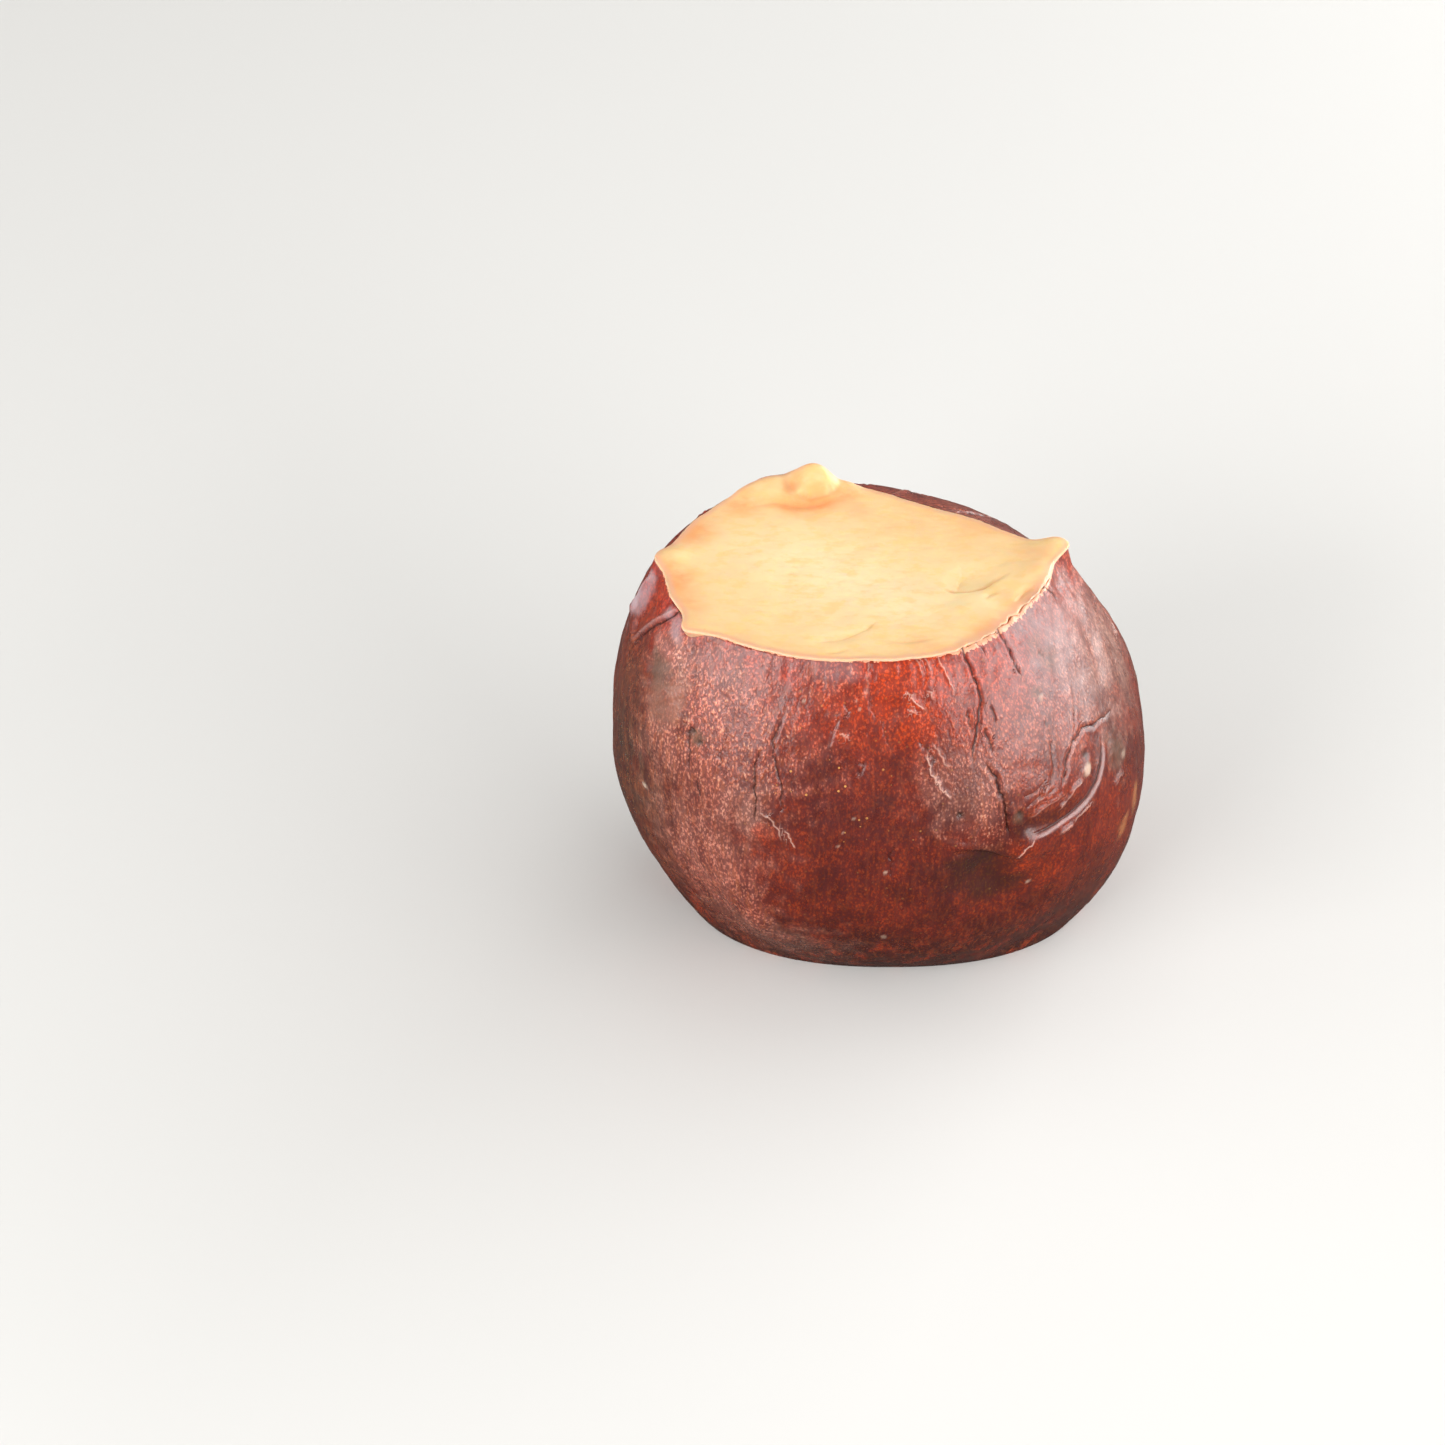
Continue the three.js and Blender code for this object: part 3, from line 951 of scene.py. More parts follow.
@dataclass
class Flesh:
    """The flesh, from the lower cut up inside the skin to the upper cut and its rolled edge."""

    form: TuberForm
    columns: int = 400
    cut_rows: int = 120
    lip_rows: int = 9
    wall_rows: int = 40
    base_rows: int = 12
    wall_inset: float = 0.5
    wall_depth: float = 0.9  # how much further in the wall is half way up
    lip: float = 0.2  # the rolled edge's radius
    lip_inset: float = 0.1  # from the rim to the middle of the roll
    lip_drop: float = 0.18
    crowding: float = 0.2
    lines: tuple[FaceLine, ...] = (
        FaceLine(
            ((4, -5), (5.8, -6.1), (7.4, -6.2), (9, -5.4), (10.4, -4.1), (12.6, -2.6)), 0.34, 0.3, -0.35, 3.4
        ),
        FaceLine(((8.8, -8.3), (9.8, -6.9), (10.6, -6.4)), 0.35, 0.12, 0, 1),
        FaceLine(((14.6, -5.2), (13.1, -6.6), (12, -8.8)), 0.45, 0.18, -0.15, 2),
        FaceLine(((-5.4, -17.3), (-6.9, -18.1), (-8.4, -18.3)), 0.3, 0.1, 0, 0.8),
        FaceLine(((-9.6, -16.4), (-6.4, -15.8), (-3.6, -13.8), (-2.4, -11.6)), 0.7, 0.1, -0.1, 2.4),
        FaceLine(((-3.4, -15.6), (0.2, -16.1), (3.8, -15.4)), 0.4, 0.08, 0, 1),
        FaceLine(((-16.4, 11), (-13, 12.3), (-11, 12.2), (-8, 12.6), (-4.6, 14.4)), 0.8, 0.3, 0.2, 1.8),
        FaceLine(((-11, 13.6), (-9.2, 13.2), (-7.4, 13.6), (-5.6, 14.8)), 0.4, 0.3, 0.9, 1.5),
    )
    lobes: tuple[FaceBell, ...] = lumps(
        (-7.4, 15.8, 1.7, 0.9), (-4.6, 15.4, 1.3, 0.5), (-11.4, 14.8, 1.1, -0.5), (-16.6, 13.6, 1.6, 0.5),
        (7.6, -3.2, 2.6, -0.3), (9, -8.8, 2.6, 0.3), (14.8, -2.6, 2, 0.4), (-5.6, -13, 2.2, 0.2),
    )
    warm: tuple[FaceBell, ...] = lumps(
        (-24.4, -3.5, 2.6, 0.9), (-23, -9, 2.4, 0.5), (-22.4, 6, 2.6, 0.7), (-17, 11.6, 2.4, 0.8),
        (-11.4, 12, 1.7, 1.1), (-8.1, 12.4, 1.8, 1.1), (-10.6, 15, 1, 0.8), (-5, 13.8, 1.6, 0.8),
        (-3.4, 10.2, 1.5, 0.4), (0.6, 7.8, 3, 0.35), (8, 5.8, 3.4, 0.35), (15, 1, 2.4, 0.4),
        (15.6, -4.4, 1.6, 0.4), (13.2, -8.6, 2, 0.5), (9, -13.2, 2.2, 0.5), (2, -16.4, 2.2, 0.35),
    )
    pale: tuple[FaceBell, ...] = lumps(
        (-12, 1, 6.5, 0.8), (-4, -5, 6.5, 0.9), (2, -8, 4.5, 0.7), (8, -2.5, 2.5, 0.4),
        (8.4, -8.6, 2.4, 0.5), (-7, -13.6, 2.4, 0.4),
    )

    def build(self, material: bpy.types.Material) -> bpy.types.Object:
        """The flesh as one piece.

        Args:
            material: its finish.

        Returns:
            The piece.
        """
        counts = (self.base_rows, self.wall_rows, self.lip_rows, self.cut_rows)
        bm, row, theta = turned_grid(sum(counts), self.columns, False, self.crowding)
        places = np.zeros((len(row), 3))
        fields = {name: np.zeros(len(row)) for name in ("edge", "warm", "pale", "line", "soaked")}
        start = 0
        for lay, count in zip((self.lay_base, self.lay_wall, self.lay_lip, self.lay_cut), counts):
            chosen = np.flatnonzero((row >= start) & (row < start + count))
            found = lay(theta[chosen], row[chosen] - start)
            places[chosen] = found.pop("places")
            for name, values in found.items():
                fields[name][chosen] = values
            start += count
        return finish_piece(bm, "flesh", places - self.form.middle(), fields, material)

    def overhang(self, theta: Array) -> Array:
        """How far the rolled edge stands out over the skin, less where the skin's edge is ragged.

        Args:
            theta: the points' directions.

        Returns:
            The distance, negative where the edge lies inside the skin.
        """
        level = outward(theta) * 19
        uneven = 0.12 * rough(level, 2.6, 3, 4.4) + 0.06 * rough(level, 0.9, 2, 9.1)
        hook = 0.8 * bell(turn(theta, -145.5) / 3.6) - 0.25 * bell(turn(theta, -153) / 3.6)
        return uneven + hook - ragged_share(theta) * (0.22 + 0.3 * rough(level, 1.1, 3, 6.2))

    def lay_base(self, theta: Array, row: Array) -> Fields:
        """The lower cut, from its middle out.

        Args:
            theta: the points' directions.
            row: their rows, from 0.

        Returns:
            Their places, and the fields that this part has.
        """
        share = row / (self.base_rows - 1)
        reach = share * (self.form.base.radius(theta) - self.wall_inset)
        middle = np.array([self.form.base.x, self.form.base.y, 0.05])
        return {"places": middle + outward(theta) * reach[:, None], "soaked": ease(share, 0.2, 1)}

    def lay_wall(self, theta: Array, row: Array) -> Fields:
        """The wall that the skin hides, from the lower cut up.

        Args:
            theta: each point's angle.
            row: each point's row in this part.

        Returns:
            The points' places.
        """
        share = (row + 1) / (self.wall_rows + 1)
        inset = self.wall_inset + self.wall_depth * ease(share, 0, 0.12) * (1 - 0.5 * ease(share, 0.93, 1))
        return {"places": self.form.side(theta, -0.985 + 1.94 * share) - outward(theta) * inset[:, None]}

    def lay_lip(self, theta: Array, row: Array) -> Fields:
        """The rolled edge, from under it out and up.

        Args:
            theta: each point's angle.
            row: each point's row in this part.

        Returns:
            The points' places and edge field.
        """
        swing = np.radians(-75 + 155 * row / (self.lip_rows - 1))
        rim = self.form.rim_radius(theta) + self.overhang(theta)
        radius = rim - self.lip_inset + self.lip * np.cos(swing)
        level = self.form.rim_height(theta) - self.lip_drop + self.lip * np.sin(swing)
        x, y = self.form.cut(theta, radius)
        return {"places": np.stack([x, y, level], axis=-1), "edge": np.ones_like(theta)}

    def lay_cut(self, theta: Array, row: Array) -> Fields:
        """The upper cut, from its edge in to its middle.

        Args:
            theta: each point's angle.
            row: each point's row in this part.

        Returns:
            The points' places and the cut's fields.
        """
        share = 1 - ((row + 1) / self.cut_rows) ** 1.15
        start = self.lip_inset - self.lip * math.cos(math.radians(80)) - self.overhang(theta)
        outermost = self.form.rim_radius(theta) - start
        x, y = self.form.cut(theta, share * outermost)
        flat = np.stack([x, y, np.zeros_like(x)], axis=-1)
        off_edge = outermost * (1 - share)
        inner = ease(off_edge, 0.2, 1.6)
        right = bell(np.hypot(x - 11, y + 4) / 6)
        level = self.form.cut_height(x, y) + sum(b.at(x, y) for b in self.lobes)
        level += (self.lip - self.lip_drop) * bell(off_edge / 0.6)
        level += inner * (0.12 + 0.16 * right) * rough(flat, 4.5, 2, 1.9)
        level += inner * 0.045 * rough(flat * np.array([0.5, 1, 1]), 1.3, 3, 8.2)
        level += 0.04 * (1 - inner) * rough(flat, 1.3, 2, 3.1)
        deep = np.zeros_like(x)
        for line in self.lines:
            added, depth = line.relief(flat)
            level += added
            # The line field darkens the flesh along the knife grooves by their depth: a painted shade in the
            # grooves.
            deep = np.maximum(deep, depth * min(1, line.depth / 0.34))
        left = bell(turn(theta, 150) / 75)
        warmth = (0.3 + 0.1 * left) * ease(off_edge, 2.8 + 1.8 * left, 0.3)
        return {
            "places": np.stack([x, y, level], axis=-1),
            "edge": ease(off_edge, 0.9 + 0.7 * ragged_share(theta), 0.1),
            "warm": np.clip(sum(b.at(x, y) for b in self.warm) + warmth, 0, 1),
            "pale": np.clip(sum(b.at(x, y) for b in self.pale), 0, 1),
            "line": deep,
        }


class Graph:
    """A node tree written as short lines."""

    def __init__(self, tree: Tree) -> None:
        """Starts on a tree, which is emptied."""
        self.tree = tree
        tree.nodes.clear()

    def node(self, kind: str, inputs: Inputs | None = None, **settings: object) -> bpy.types.Node:
        """Adds a node.

        Args:
            kind: the node's type, without the words that every shader node's starts with.
            inputs: what its sockets get, by name or number.
            settings: values for its properties.

        Returns:
            The node.
        """
        made = self.tree.nodes.new("ShaderNode" + kind)
        for name, value in settings.items():
            setattr(made, name, value)
        for name, value in (inputs or {}).items():
            self.put(made.inputs[name], value)
        return made

    def put(self, socket: Socket, value: object) -> None:
        """Fills a socket.

        Args:
            socket: the socket.
            value: another socket, which is linked, or a number, a vector or a colour.
        """
        if isinstance(value, bpy.types.NodeSocket):
            self.tree.links.new(value, socket)
        elif socket.type == "RGBA":
            socket.default_value = (*value, 1)
        else:
            socket.default_value = value

    def places(self) -> Socket:
        """The object coordinates, in metres."""
        return self.node("TexCoord").outputs["Object"]

    def number(self, name: str) -> Socket:
        """A field of the piece's points."""
        return self.node("Attribute", attribute_name=name).outputs["Fac"]

    def stretch(self, vector: Socket, by: tuple[float, float, float]) -> Socket:
        """Coordinates multiplied along each axis."""
        return self.node("VectorMath", {0: vector, 1: by}, operation="MULTIPLY").outputs[0]

    def clouds(self, vector: Socket, size: float, detail: float = 3, blur: float = 0.5) -> Socket:
        """Soft noise with lumps of a size in millimetres, about 0.5 in the mean."""
        inputs = {"Vector": vector, "Scale": 1 / (size * MM), "Detail": detail, "Roughness": blur}
        return self.node("TexNoise", inputs).outputs["Fac"]

    def maths(self, operation: str, first: object, second: object = 0, clamp: bool = False) -> Socket:
        """One step of arithmetic."""
        return self.node("Math", {0: first, 1: second}, operation=operation, use_clamp=clamp).outputs[0]

    def times(self, first: object, second: object) -> Socket:
        """A product."""
        return self.maths("MULTIPLY", first, second)

    def plus(self, first: object, second: object) -> Socket:
        """A sum."""
        return self.maths("ADD", first, second)

    def minus(self, first: object, second: object) -> Socket:
        """A difference."""
        return self.maths("SUBTRACT", first, second)

    def per(self, first: object, second: object) -> Socket:
        """A quotient."""
        return self.maths("DIVIDE", first, second)

    def span(self, value: Socket, low: float, high: float, to_low: float = 0, to_high: float = 1) -> Socket:
        """A smooth step from to_low at low to to_high at high."""
        inputs = {"Value": value, "From Min": low, "From Max": high, "To Min": to_low, "To Max": to_high}
        return self.node("MapRange", inputs, interpolation_type="SMOOTHSTEP").outputs["Result"]

    def blend(self, share: object, first: object, second: object) -> Socket:
        """Two colours mixed."""
        inputs = {"Factor": share, "A": first, "B": second}
        return self.node("Mix", inputs, data_type="RGBA", clamp_factor=True).outputs["Result"]

    def over(self, base: object, tone: object, share: Socket, most: object) -> Socket:
        """A tone laid over a colour by a share, times the most that it may be."""
        return self.blend(self.times(share, most), base, tone)

    def bumped(self, height: Socket) -> Socket:
        """The normal of a surface with a height in metres."""
        return self.node("Bump", {"Strength": 1, "Distance": 1, "Height": height}).outputs["Normal"]

    def line(self, name: str, width: float) -> Socket:
        """A line in the skin.

        Args:
            name: the field that has its strength, beside the one that has its signed distance.
            width: how soon it fades, in millimetres.

        Returns:
            The share of it here, up to 1.
        """
        off = self.per(self.number(name + "_side"), width)
        fall = self.maths("EXPONENT", self.times(self.times(off, off), -1))
        return self.maths("MULTIPLY", fall, self.number(name), clamp=True)

    def group(self, tree: Tree, **values: float) -> bpy.types.NodeOutputs:
        """Adds a node group, fills its inputs and gives its outputs."""
        return self.node("Group", values, node_tree=tree).outputs


def empty_group(
    name: str, inputs: tuple[str, ...], outputs: tuple[str, ...]
) -> tuple[Graph, bpy.types.NodeOutputs, bpy.types.NodeInputs]:
    """A node group with plain number sockets.

    Args:
        name: its name.
        inputs: the names of the numbers that go in.
        outputs: the names of the numbers that come out.

    Returns:
        Its graph, the sockets that give what goes in, and the ones that take what comes out.
    """
    tree = bpy.data.node_groups.new(name, "ShaderNodeTree")
    for way, labels in (("INPUT", inputs), ("OUTPUT", outputs)):
        for label in labels:
            tree.interface.new_socket(name=label, in_out=way, socket_type="NodeSocketFloat")
    graph = Graph(tree)
    return graph, tree.nodes.new("NodeGroupInput").outputs, tree.nodes.new("NodeGroupOutput").inputs


def pebble_group() -> Tree:
    """Fine pebbles and short streaks: a height in metres, and a shade from 0 to 1 for each.

    Returns:
        The group, with inputs Size in millimetres, Upright, Height and Streaks in millimetres.
    """
    labels = ("Size", "Upright", "Height", "Streaks")
    graph, given, out = empty_group("pebbles", labels, ("Height", "Shade", "Grain"))
    x, y, z = graph.node("SeparateXYZ", {0: graph.places()}).outputs
    at = graph.node("CombineXYZ", {0: x, 1: y, 2: graph.times(z, given["Upright"])}).outputs[0]
    bend = graph.node("TexNoise", {"Vector": at, "Scale": 900}).outputs["Color"]
    inputs = {0: bend, 1: (0.0003, 0.0003, 0.0003), 2: at}
    moved = graph.node("VectorMath", inputs, operation="MULTIPLY_ADD").outputs[0]
    inputs = {"Vector": moved, "Scale": graph.per(1 / MM, given["Size"]), "Smoothness": 0.35}
    cells = graph.node("TexVoronoi", inputs, feature="SMOOTH_F1")
    inputs = {"Vector": at, "Scale": graph.per(0.85 / MM, given["Size"]), "Detail": 4, "Roughness": 0.65}
    finer = graph.node("TexNoise", inputs).outputs["Fac"]
    drawn = graph.stretch(at, (1, 1, 0.22))
    inputs = {"Vector": drawn, "Scale": graph.per(0.7 / MM, given["Size"]), "Detail": 3}
    streaks = graph.node("TexNoise", inputs).outputs["Fac"]
    dome = graph.minus(0.6, cells.outputs["Distance"])
    fine = graph.times(graph.plus(graph.times(dome, 0.65), graph.times(finer, 1.3)), given["Height"])
    long = graph.times(streaks, given["Streaks"])
    graph.put(out["Height"], graph.times(graph.plus(fine, long), MM))
    shade = graph.plus(graph.times(dome, 0.3), graph.times(finer, 0.8))
    graph.put(out["Shade"], graph.span(shade, 0.35, 0.66))
    graph.put(out["Grain"], graph.span(streaks, 0.34, 0.66))
    return graph.tree


def fleck_group() -> Tree:
    """Scattered small flecks, 1 on them and 0 between them.

    Returns:
        The group, with inputs Spacing and Radius in millimetres, and Share of the cells that have one.
    """
    graph, given, out = empty_group("flecks", ("Spacing", "Radius", "Share"), ("Mask",))
    inputs = {"Vector": graph.places(), "Scale": graph.per(1 / MM, given["Spacing"])}
    cells = graph.node("TexVoronoi", inputs).outputs
    red, green, _ = graph.node("SeparateColor", {0: cells["Color"]}).outputs
    chosen = graph.maths("LESS_THAN", red, given["Share"])
    reach = graph.per(given["Radius"], given["Spacing"])
    uneven = graph.times(reach, graph.plus(0.5, green))
    inside = graph.maths("DIVIDE", graph.minus(uneven, cells["Distance"]), reach, clamp=True)
    soft = graph.maths("MULTIPLY", inside, 3, clamp=True)
    graph.put(out["Mask"], graph.times(soft, chosen))
    return graph.tree


def new_material(name: str) -> tuple[bpy.types.Material, Graph]:
    """A material with an empty graph.

    Args:
        name: its name.

    Returns:
        The material and its graph.
    """
    material = bpy.data.materials.new(name)
    material.use_nodes = True
    return material, Graph(material.node_tree)


@dataclass(frozen=True)
class SkinFinish:
    """Syrup-glazed red-brown skin. Colours are linear, and grain is in millimetres."""

    deep: Colour = (0.095, 0.014, 0.006)
    body: Colour = (0.235, 0.029, 0.010)
    glow: Colour = (0.640, 0.042, 0.010)
    # bloom: partly the skin's pinker tone, partly a painted milky reflection of the lights
    bloom: Colour = (0.600, 0.165, 0.110)
    moss: Colour = (0.210, 0.085, 0.042)
    olive: Colour = (0.070, 0.046, 0.028)
    purple: Colour = (0.110, 0.022, 0.020)
    # foot: the dark colour towards the base, a painted shade
    foot: Colour = (0.050, 0.010, 0.003)
    ember: Colour = (0.600, 0.060, 0.010)
    plum: Colour = (0.045, 0.010, 0.014)
    rust: Colour = (0.430, 0.110, 0.035)
    gold: Colour = (0.700, 0.340, 0.090)
    # split: the dark line of the splits, and the painted shadow line under the fold and overlap crests
    split: Colour = (0.030, 0.006, 0.005)
    # crest: the pale colour of the ridge lines, and the painted highlight on the pebble tops
    crest: Colour = (0.740, 0.430, 0.340)
    # ochre: a painted highlight on the pebble tops in the pink patches
    ochre_highlight: Colour = (0.740, 0.470, 0.260)
    # haze: a painted milky reflection of the lights
    haze: Colour = (0.720, 0.440, 0.350)
    bare: Colour = (0.800, 0.350, 0.210)
    # shade: the colour of the painted shade
    shade: Colour = (0.034, 0.020, 0.010)
    # What lies on the rest: each field's colour and the most of it that shows.
    spots: tuple[tuple[str, Colour, float], ...] = (
        ("grey", (0.125, 0.066, 0.045), 0.85),
        ("dull", (0.300, 0.130, 0.090), 0.8),
        # The milky patches' colour is a painted reflection of the lights.
        ("milk", (0.520, 0.400, 0.430), 0.85),
        # sheen: a painted highlight along the fold and overlap crests.
        ("sheen", (0.480, 0.290, 0.270), 0.5),
        ("tan", (0.480, 0.210, 0.080), 0.85),
        ("scab", (0.090, 0.058, 0.034), 0.85),
        ("pale", (0.620, 0.460, 0.350), 0.9),
        ("pit", (0.030, 0.016, 0.012), 0.9),
    )
    roughness: float = 0.3
    grain_size: float = 0.27
    grain_height: float = 0.042
    grain_streaks: float = 0.012
    ior: float = 1.45
    scatter: float = 0.06
    scatter_reach: Colour = (0.0024, 0.0006, 0.0003)  # metres

    def colour(self, graph: Graph, shade: Socket, grain: Socket, flecks: Tree) -> Socket:
        """The skin's colour over its surface.

        Args:
            graph: the material's graph.
            shade: the pebbles' shade.
            grain: the streaks' shade.
            flecks: the group that scatters flecks.

        Returns:
            The colour.
        """
        number, times, plus, span, over = graph.number, graph.times, graph.plus, graph.span, graph.over
        at = graph.places()
        upright = graph.stretch(at, (1, 1, 0.3))
        patchy = span(graph.clouds(upright, 1.8, 4, 0.62), 0.34, 0.64)
        wide = span(graph.clouds(at, 5, 4, 0.6), 0.36, 0.64)
        base = over(graph.blend(wide, self.deep, self.body), self.body, patchy, 0.4)
        blotches = graph.clouds(graph.stretch(at, (0.8, 0.45, 0.8)), 1.3, 4, 0.65)
        moss = graph.blend(span(blotches, 0.4, 0.6), self.moss, self.olive)
        moss = graph.blend(span(blotches, 0.6, 0.72, 0, 0.45), moss, self.rust)
        embers = span(graph.clouds(upright, 2.4, 4, 0.6), 0.5, 0.66, 0, 0.6)
        for name, tone, least, most in (
            ("plum", self.purple, 0.3, 0.9),
            # Darker towards the base, a painted shade, with orange streaks.
            ("low", graph.blend(embers, self.foot, self.ember), 0.7, 0.95),
            ("moss", moss, 0.5, 0.95),
            # The pink bloom, partly a painted milky reflection of the lights.
            ("bloom", self.bloom, 0.45, 1),
            # The beige haze, a painted reflection of the lights.
            ("haze", self.haze, 0.4, 0.8),
            ("rim", self.glow, 0.3, 0.7),
            ("ember", self.ember, 0.35, 0.95),
            # The painted shade.
            ("shade", self.shade, 0.75, 0.95),
        ):
            base = over(base, tone, number(name), span(patchy, 0, 1, least, most))
        base = over(base, self.plum, span(shade, 0.55, 0.1), plus(times(number("bloom"), 0.14), 0.55))
        base = over(base, self.plum, span(grain, 0.45, 0.1), 0.12)
        base = over(base, self.rust, times(span(grain, 0.6, 0.95), number("streaky")), 0.25)
        # Rust on the pebbles' tops, then a painted highlight (glint) on the same tops, stronger in the
        # rugged and pink patches.
        tops = times(span(shade, 0.62, 0.95), graph.minus(1, number("shade")))
        base = over(base, self.rust, tops, 0.13)
        glints = plus(plus(times(number("rugged"), 0.26), 0.005), times(number("bloom"), 0.3))
        base = over(base, graph.blend(number("bloom"), self.crest, self.ochre_highlight), tops, glints)
        golden = graph.group(flecks, Spacing=0.8, Radius=0.11, Share=0.35)["Mask"]
        base = over(base, self.gold, golden, plus(times(number("gold"), 0.65), 0.12))
        for name, tone, most in self.spots:
            base = over(base, tone, number(name), most)
        bare = plus(number("torn"), times(graph.clouds(upright, 0.42, 3, 0.6), 1.8))
        base = graph.blend(span(bare, 1.5, 1.62), base, self.bare)
        base = over(base, self.crest, graph.line("ridge", 0.09), 0.7)
        # The splits' dark line, which beside the fold and overlap crests is a painted shadow.
        return over(base, self.split, graph.line("groove", 0.12), 0.92)

    def build(self, pebbles: Tree, flecks: Tree) -> bpy.types.Material:
        """The material.

        Args:
            pebbles: the group of fine pebbles.
            flecks: the group that scatters flecks.

        Returns:
            The material.
        """
        material, graph = new_material("glazed_skin")
        number, times, plus = graph.number, graph.times, graph.plus
        sizes = {"Size": self.grain_size, "Height": self.grain_height, "Streaks": self.grain_streaks}
        fine = graph.group(pebbles, Upright=0.6, **sizes)
        patches = graph.clouds(graph.places(), 2)
        polish = graph.span(patches, 0.3, 0.7, self.roughness - 0.05, self.roughness + 0.06)
        for name, more in (("scab", 0.16), ("grey", 0.1), ("shade", -0.12), ("low", -0.06)):
            polish = plus(polish, times(number(name), more))
        amount = 0.55
        for name, more in (("rugged", 0.9), ("bloom", 0.3), ("low", -0.3)):
            amount = plus(amount, times(number(name), more))
        amount = times(amount, graph.minus(1, times(number("shade"), 0.6)))
        height = times(fine["Height"], amount)
        height = plus(height, times(graph.line("groove", 0.13), -0.1 * MM))
        height = plus(height, times(graph.line("ridge", 0.13), 0.05 * MM))
        inputs = {
            "Base Color": self.colour(graph, fine["Shade"], fine["Grain"], flecks),
            "Roughness": polish,
            "Normal": graph.bumped(height),
            "IOR": self.ior,
            "Subsurface Weight": self.scatter,
            "Subsurface Radius": self.scatter_reach,
            "Subsurface Scale": 1,
        }
        graph.node("OutputMaterial", {"Surface": graph.node("BsdfPrincipled", inputs).outputs[0]})
        return material


@dataclass(frozen=True)
class FleshFinish:
    """Moist cooked flesh, pale yellow in the middle and orange at the edge. Colours are linear."""

    body: Colour = (0.960, 0.650, 0.330)
    middle: Colour = (0.970, 0.740, 0.430)
    freckle: Colour = (0.950, 0.610, 0.240)
    warm: Colour = (0.950, 0.400, 0.160)
    edge: Colour = (0.920, 0.430, 0.270)
    # line: painted shade along the knife grooves
    line: Colour = (0.900, 0.360, 0.130)
    soaked: Colour = (0.600, 0.270, 0.080)
    roughness: float = 0.42
    ior: float = 1.38
    scatter: float = 0.5
    scatter_reach: Colour = (0.0030, 0.0014, 0.0006)  # metres

    def build(self, pebbles: Tree, flecks: Tree) -> bpy.types.Material:
        """The material.

        Args:
            pebbles: the group of fine pebbles.
            flecks: the group that scatters flecks.

        Returns:
            The material.
        """
        material, graph = new_material("moist_flesh")
        number, span, over = graph.number, graph.span, graph.over
        at = graph.places()
        streaky = graph.stretch(at, (0.7, 1, 1))
        fine = graph.group(pebbles, Size=0.5, Upright=1, Height=0.004, Streaks=0.004)
        base = graph.blend(number("pale"), self.body, self.middle)
        spots = span(graph.clouds(streaky, 1.5, 3, 0.6), 0.46, 0.68, 0, 0.6)
        base = graph.blend(spots, base, self.freckle)
        uneven = span(graph.clouds(streaky, 2.4, 4, 0.6), 0.3, 0.66, 0.45, 1.1)
        base = over(base, self.warm, number("warm"), uneven)
        base = over(base, self.edge, number("edge"), 0.85)
        # Painted shade along the knife grooves.
        base = over(base, self.line, number("line"), 0.5)
        base = over(base, self.warm, graph.group(flecks, Spacing=2.2, Radius=0.14, Share=0.3)["Mask"], 0.35)
        polish = span(graph.clouds(at, 1.5), 0.3, 0.7, self.roughness - 0.06, self.roughness + 0.08)
        inputs = {
            "Base Color": over(base, self.soaked, number("soaked"), 0.8),
            "Roughness": polish,
            "Normal": graph.bumped(fine["Height"]),
            "IOR": self.ior,
            "Subsurface Weight": self.scatter,
            "Subsurface Radius": self.scatter_reach,
            "Subsurface Scale": 1,
        }
        graph.node("OutputMaterial", {"Surface": graph.node("BsdfPrincipled", inputs).outputs[0]})
        return material


@dataclass(frozen=True)
class Softbox:
    """A soft light that faces the object. Angles are in degrees, azimuth 0 along +X; sizes in metres."""

    name: str
    azimuth: float
    elevation: float
    distance: float
    width: float
    height: float
    radiance: float

    def place(self, target: Vector) -> None:
        """Hangs the light round a point.

        Args:
            target: the point.
        """
        data = bpy.data.lights.new(self.name, "AREA")
        data.shape = "RECTANGLE"
        data.size = self.width
        data.size_y = self.height
        data.energy = self.radiance * math.pi * self.width * self.height
        light = bpy.data.objects.new(self.name, data)
        azimuth = math.radians(self.azimuth)
        elevation = math.radians(self.elevation)
        level = math.cos(elevation)
        away = Vector((math.cos(azimuth) * level, math.sin(azimuth) * level, math.sin(elevation)))
        light.location = target + away * self.distance
        light.rotation_euler = away.to_track_quat("Z", "Y").to_euler()
        light.visible_camera = False
        bpy.context.scene.collection.objects.link(light)


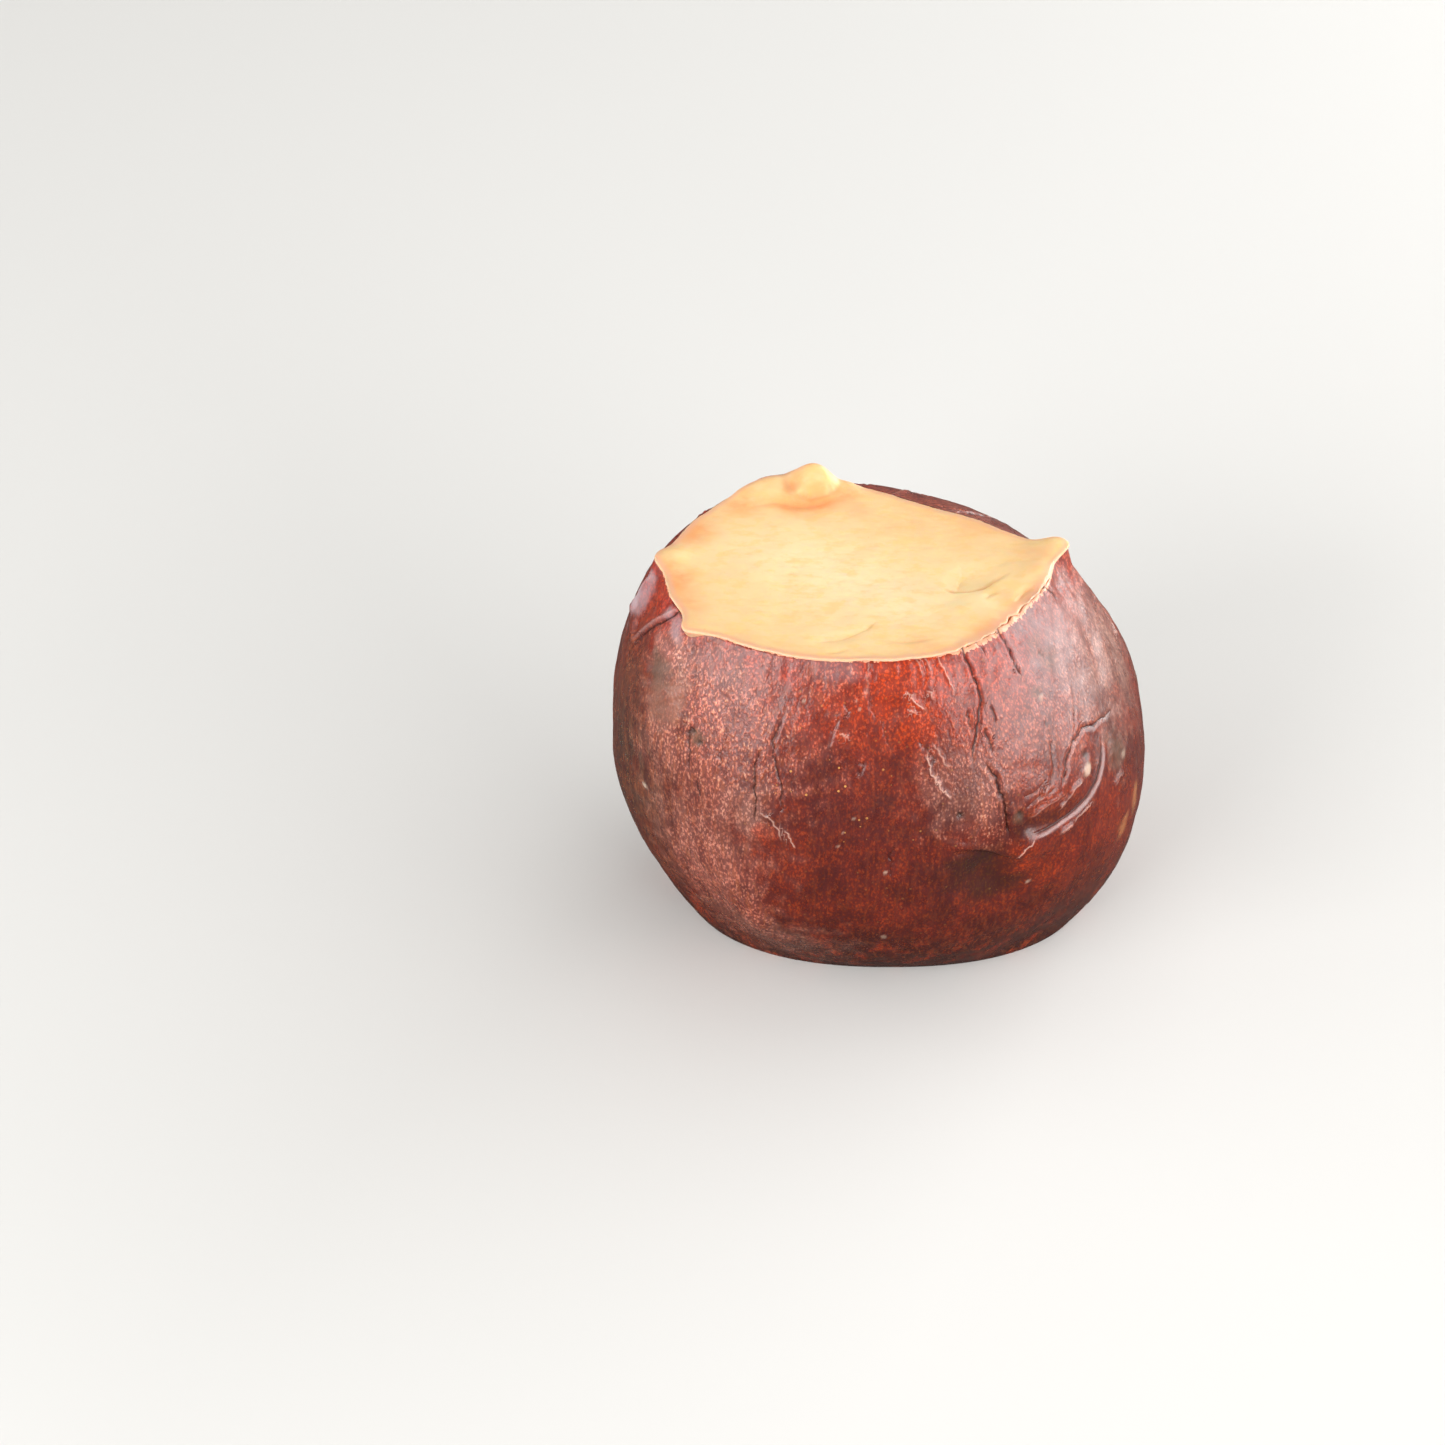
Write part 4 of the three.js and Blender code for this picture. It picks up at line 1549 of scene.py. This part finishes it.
@dataclass
class Studio:
    """The pale floor, the soft lights and the camera."""

    form: TuberForm
    pitch: float = 39  # degrees that the camera looks down
    focal_pixels: float = 3616
    picture_side: int = 1445
    foot_pixel: tuple[float, float] = (885, 872)  # where the form's own origin is in the picture
    depth: float = 420  # along the view to that origin
    sensor: float = 36
    floor_side: float = 12
    floor_fade: tuple[float, float] = (0.25, 0.6)  # metres, where the floor fades into the backdrop
    floor_colour: Colour = (0.70, 0.69, 0.67)
    floor_shade: Colour = (0.09, 0.085, 0.08)  # the floor's colour in reflections and thrown light
    sky: Colour = (0.24, 0.24, 0.23)
    backdrop: Colour = (0.91, 0.90, 0.87)
    lights: tuple[Softbox, ...] = (
        Softbox("soft_right_front", -33, 13.5, 0.65, 0.78, 0.38, 6.8),
        Softbox("soft_right_back", 32, 13.5, 0.65, 0.78, 0.38, 6.4),
        Softbox("soft_left", -138, 15, 0.62, 0.46, 0.42, 8),
        Softbox("soft_left_back", 170, 16, 0.75, 0.6, 0.46, 2.4),
        Softbox("soft_top", 80, 70, 1, 0.8, 0.8, 0.8),
    )

    def lay_floor(self) -> None:
        """A plain pale floor."""
        bm = bmesh.new()
        bmesh.ops.create_grid(bm, x_segments=2, y_segments=2, size=self.floor_side / 2)
        mesh = bpy.data.meshes.new("floor")
        bm.to_mesh(mesh)
        bm.free()
        material, graph = new_material("pale_floor")
        seen = graph.node("LightPath").outputs["Is Camera Ray"]
        colour = graph.blend(seen, self.floor_shade, self.floor_colour)
        inputs = {"Base Color": colour, "Roughness": 0.85, "Specular IOR Level": 0.2}
        shader = graph.node("BsdfPrincipled", inputs).outputs[0]
        away = graph.node("VectorMath", {0: graph.places()}, operation="LENGTH").outputs["Value"]
        far = graph.times(graph.span(away, *self.floor_fade), seen)
        haze = graph.node("Emission", {"Color": self.backdrop}).outputs[0]
        faded = graph.node("MixShader", {0: far, 1: shader, 2: haze})
        graph.node("OutputMaterial", {"Surface": faded.outputs[0]})
        mesh.materials.append(material)
        floor = bpy.data.objects.new("floor", mesh)
        bpy.context.scene.collection.objects.link(floor)

    def light(self) -> None:
        """The soft lights, and a sky that is paler to the eye than it is bright."""
        for softbox in self.lights:
            softbox.place(Vector((0, 0, self.form.height * MM / 2)))
        world = bpy.data.worlds.new("studio")
        bpy.context.scene.world = world
        world.use_nodes = True
        graph = Graph(world.node_tree)
        seen = graph.node("LightPath").outputs["Is Camera Ray"]
        lit = graph.node("Background", {"Color": self.sky}).outputs[0]
        shown = graph.node("Background", {"Color": self.backdrop}).outputs[0]
        choice = graph.node("MixShader", {0: seen, 1: lit, 2: shown})
        graph.node("OutputWorld", {"Surface": choice.outputs[0]})

    def set_camera(self) -> None:
        """The camera at the picture's angle, with the object where the picture has it."""
        pitch = math.radians(self.pitch)
        forward = Vector((0, math.cos(pitch), -math.sin(pitch)))
        upward = Vector((0, math.sin(pitch), math.cos(pitch)))
        right = (self.foot_pixel[0] - self.picture_side / 2) / self.focal_pixels
        down = (self.foot_pixel[1] - self.picture_side / 2) / self.focal_pixels
        ray = forward + Vector((right, 0, 0)) - upward * down
        data = bpy.data.cameras.new("camera")
        data.sensor_width = self.sensor
        data.lens = self.focal_pixels / self.picture_side * self.sensor
        data.clip_start = 0.01
        data.clip_end = 50
        camera = bpy.data.objects.new("camera", data)
        camera.location = (Vector(-self.form.middle()) - ray * self.depth) * MM
        camera.rotation_euler = (math.pi / 2 - pitch, 0, 0)
        bpy.context.scene.collection.objects.link(camera)
        bpy.context.scene.camera = camera

    def build(self) -> None:
        """Everything around the object."""
        self.lay_floor()
        self.light()
        self.set_camera()
        bpy.context.scene.view_settings.view_transform = "Standard"


def main() -> None:
    """Builds the pieces in order, and the studio round them."""
    logging.basicConfig(level=logging.INFO, format="%(message)s")
    form = TuberForm()
    pebbles = pebble_group()
    flecks = fleck_group()
    skin = Skin(form, SkinSurface(form)).build(SkinFinish().build(pebbles, flecks))
    LOG.info("%s: %d faces", skin.name, len(skin.data.polygons))
    flesh = Flesh(form).build(FleshFinish().build(pebbles, flecks))
    LOG.info("%s: %d faces", flesh.name, len(flesh.data.polygons))
    Studio(form).build()


if __name__ == "__main__":
    main()
